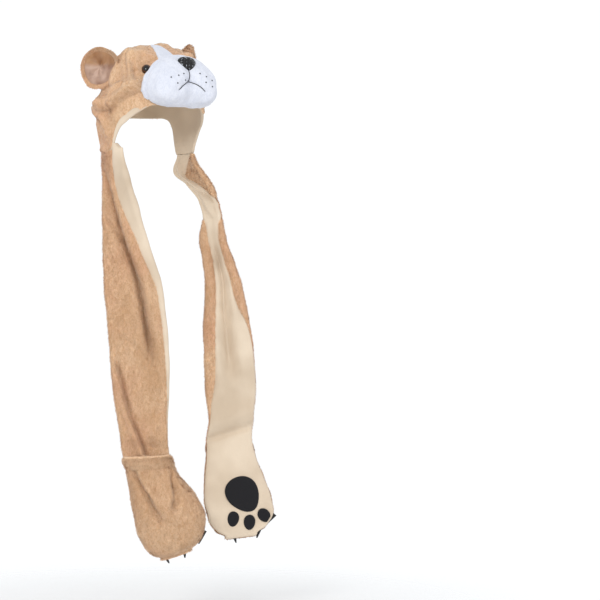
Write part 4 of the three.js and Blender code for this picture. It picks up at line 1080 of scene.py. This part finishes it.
# %% [markdown]
# ## Pads and claws
# The pads are cut from thin black felt and stitched to the palm, so each is a low disc laid
# on the palm's own surface. The claws are soft moulded horns in the toe seam.

# %% Pads
felt, tree, shader = new_material("black felt", roughness=0.95, sheen_weight=0.25, sheen_roughness=0.5,
                                  specular_ior_level=0.1)
where = add_node(tree, "TexCoord").outputs["Object"]
fibres = add_node(tree, "TexNoise", {"Vector": where, "Scale": 1300.0, "Detail": 4.0, "Roughness": 0.7}).outputs["Fac"]
tree.links.new(blend_colours(tree, fibres, linear(14, 14, 16), linear(44, 43, 46)), shader.inputs["Base Color"])
lifted = add_node(tree, "Bump", {"Height": fibres, "Strength": 0.5, "Distance": 0.0005}).outputs["Normal"]
tree.links.new(lifted, shader.inputs["Normal"])

# Across the palm from its middle, up from the toes, turn, width and length.
pads = {
    "main_pad": (0.010, 0.068, -20, 0.056, 0.060, 0.2),
    "toe_pad_inner": (-0.015, 0.029, 8, 0.019, 0.025, 0.1),
    "toe_pad_middle": (0.013, 0.020, 0, 0.019, 0.025, 0.1),
    "toe_pad_outer": (0.039, 0.029, -35, 0.019, 0.025, 0.1),
}


def palm_at(tail, e, up, more):
    """A point of the palm: e across from the middle line and up from the toes, in metres."""
    down = 1 - up / tail["drop"]
    _, _, _, half = tail_frame(tail, down)
    t = np.clip(e / np.maximum(half - edge_radius, 0.001), -1, 1)
    return tail_at(tail, down, 1 + t if tail["plush_face"] < 0 else 3.5 - t, more)


for name, tail in tails.items():
    for pad, (e, up, turn, wide, long_, egg) in pads.items():
        radii = np.linspace(0.03, 1, 12)[:, None]
        turns = np.linspace(0, 2 * np.pi, 52, endpoint=False)[None, :]
        x = np.cos(turns) * (1 + egg * np.sin(turns)) * wide / 2 * radii
        y = np.sin(turns) * long_ / 2 * radii
        lean = math.radians(turn)
        across = e + x * math.cos(lean) + y * math.sin(lean)
        high = up - x * math.sin(lean) + y * math.cos(lean)
        thick = 0.0019 - 0.0005 * smooth(0.8, 1, radii) + 0 * turns
        face, back = palm_at(tail, across, high, thick), palm_at(tail, across, high, 0.0001 + 0 * thick)
        rings = np.concatenate([face, edge_arc(face[-1], back[-1], face[-1] - face[-2]), back[::-1]])
        dress(skin(f"{name}_{pad}_felt", rings), felt, "black_felt", f"{name}_{pad}")

# %% Claws
claws = {
    "right": {"inner": (0.050, 0.0135, 38), "middle": (0.015, 0.001, 14), "outer": (-0.020, 0.001, -12)},
    "left": {"inner": (-0.013, 0.002, -10), "middle": (0.032, 0.005, 22), "outer": (0.054, 0.022, 45)},
}
for name, tail in tails.items():
    middle, across, out, _ = (v[0] if v.ndim > 1 else v for v in tail_frame(tail, np.array([1.0])))
    up = np.cross(across, out)
    up = up * np.sign(up[2])
    for claw, (e, high, turn) in claws[name].items():
        lean = math.radians(turn)
        axis = up * math.cos(lean) - np.cross(out, up) * math.sin(lean) * np.sign(np.dot(np.cross(up, out), across))
        place = middle + across * e + up * high - axis * 0.003
        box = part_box(f"{name}_claw_{claw}")
        tip = np.array((box[0] + box[1]) / 2)
        print(name, claw, "solid at", np.round(tip, 3), "claw at", np.round(place, 3))
        t = np.linspace(-0.5, 0.5, 24)[:, None]
        turns = np.linspace(0, 2 * np.pi, 24, endpoint=False)[None, :]
        radius = 0.0054 * (0.15 + 0.85 * np.clip(t + 0.5, 0, 1) ** 0.8)
        side = np.cross(axis, out)
        rings = (place + axis * (0.025 * t)[..., None] + side * (radius * np.cos(turns))[..., None]
                 + out * (radius * np.sin(turns))[..., None])
        dress(skin(f"{name}_claw_{claw}_horn", rings), gloss, "gloss_black", f"{name}_claw_{claw}")

# %% [markdown]
# ## Pile
# Short pile softens every outline of the plush and breaks up its light. Each tuft is one
# thin blade that grows out of the cloth and lies downwards. Its normals are the cloth's
# own, with a little scatter, so it is lit like the cloth and doesn't glitter.

# %% Lay the pile
def grid_triangles(points, ring=False):
    normals = grid_normals(points, ring)
    if ring:
        points, normals = (np.concatenate([v, v[:, :1]], axis=1) for v in (points, normals))
    corners = [(slice(None, -1), slice(None, -1)), (slice(None, -1), slice(1, None)),
               (slice(1, None), slice(1, None)), (slice(1, None), slice(None, -1))]
    picks = [(0, 1, 2), (0, 2, 3)]
    return tuple(np.concatenate([np.stack([v[corners[k]].reshape(-1, 3) for k in pick], 1) for pick in picks])
                 for v in (points, normals))


def lay_pile(name, triangles, normals, count, length, width, material, slot, seed, curl):
    """One thin blade for each tuft, spread evenly over the triangles, and curled in clumps."""
    rng = np.random.default_rng(seed)
    areas = np.linalg.norm(np.cross(triangles[:, 1] - triangles[:, 0], triangles[:, 2] - triangles[:, 0]), axis=1)
    picked = rng.choice(len(areas), count, p=areas / areas.sum())
    u, v = rng.random((2, count))
    over = u + v > 1
    u[over], v[over] = 1 - u[over], 1 - v[over]
    weights = np.stack([1 - u - v, u, v], 1)[..., None]
    root = (triangles[picked] * weights).sum(1)
    normal = (normals[picked] * weights).sum(1)
    normal /= np.linalg.norm(normal, axis=1, keepdims=True)
    clump = stack(*(ripple(root * [1, 1, 0.7], 0.016, seed + k) + 0.6 * ripple(root, 0.007, seed + k + 3) for k in range(3)))
    lie = np.array([0, 0, -1.0]) + clump * curl + rng.normal(0, 0.4, (count, 3))
    lie -= normal * (lie * normal).sum(1, keepdims=True)
    lie /= np.maximum(np.linalg.norm(lie, axis=1, keepdims=True), 1e-9)
    side = np.cross(normal, lie)
    long_ = (length * rng.uniform(0.65, 1.15, count))[:, None]
    rise = rng.uniform(0.3, 0.75, count)[:, None]
    tip = root + normal * long_ * rise + lie * long_ * np.sqrt(1 - rise**2)
    base = root - normal * 0.0003
    half = (width * rng.uniform(0.7, 1.2, count))[:, None] / 2
    points = np.stack([base + side * half, base - side * half, tip], 1).reshape(-1, 3)
    mesh = bpy.data.meshes.new(name)
    mesh.from_pydata(points.tolist(), [], np.arange(3 * count).reshape(-1, 3).tolist())
    # Painted shade at the root of each blade and painted light at its tip, with a random tone per blade.
    shade = np.stack([np.full(count, 0.92), np.full(count, 0.92), np.full(count, 1.12)], 1)
    shade = (shade * rng.uniform(0.9, 1.08, count)[:, None]).ravel()
    mesh.attributes.new("shade", "FLOAT", "POINT").data.foreach_set("value", shade.astype(np.float32))
    mesh.polygons.foreach_set("use_smooth", [True] * count)
    scatter = normal + clump * curl * 0.25 + rng.normal(0, 0.2, (count, 3))
    scatter /= np.linalg.norm(scatter, axis=1, keepdims=True)
    mesh.normals_split_custom_set_from_vertices(np.repeat(scatter, 3, axis=0).tolist())
    piece = bpy.data.objects.new(name, mesh)
    bpy.context.scene.collection.objects.link(piece)
    return dress(piece, material, slot)


lay_pile("hood_pile", *grid_triangles(plush_outer, ring=True), 115000, 0.005, 0.0011, plush_pile, "plush", 11, 0.5)
for number, name in enumerate(tails):
    lay_pile(name + "_tail_pile", *grid_triangles(tail_outer[name]), 90000, 0.0038, 0.001, plush_pile, "plush",
             21 + number, 0.35)
    lay_pile(name + "_pocket_pile", *grid_triangles(pocket_outer[name]), 32000, 0.0042, 0.001, plush_pile,
             "plush", 31 + number, 0.5)
    long_ = {"right": 0.0065, "left": 0.0036}[name]
    lay_pile(name + "_cuff_pile", *grid_triangles(pocket_outer[name][:7]), 7000, long_, 0.0011, plush_pile,
             "plush", 51 + number, 0.6)
    lay_pile(name + "_ear_pile", *grid_triangles(ear_fronts[name], ring=True), 14000, 0.004, 0.001, plush_pile,
             "plush", 41 + number, 0.5)

# %% Sizes and the end
print("cad box", [[round(x, 4) for x in v] for v in cad_box])
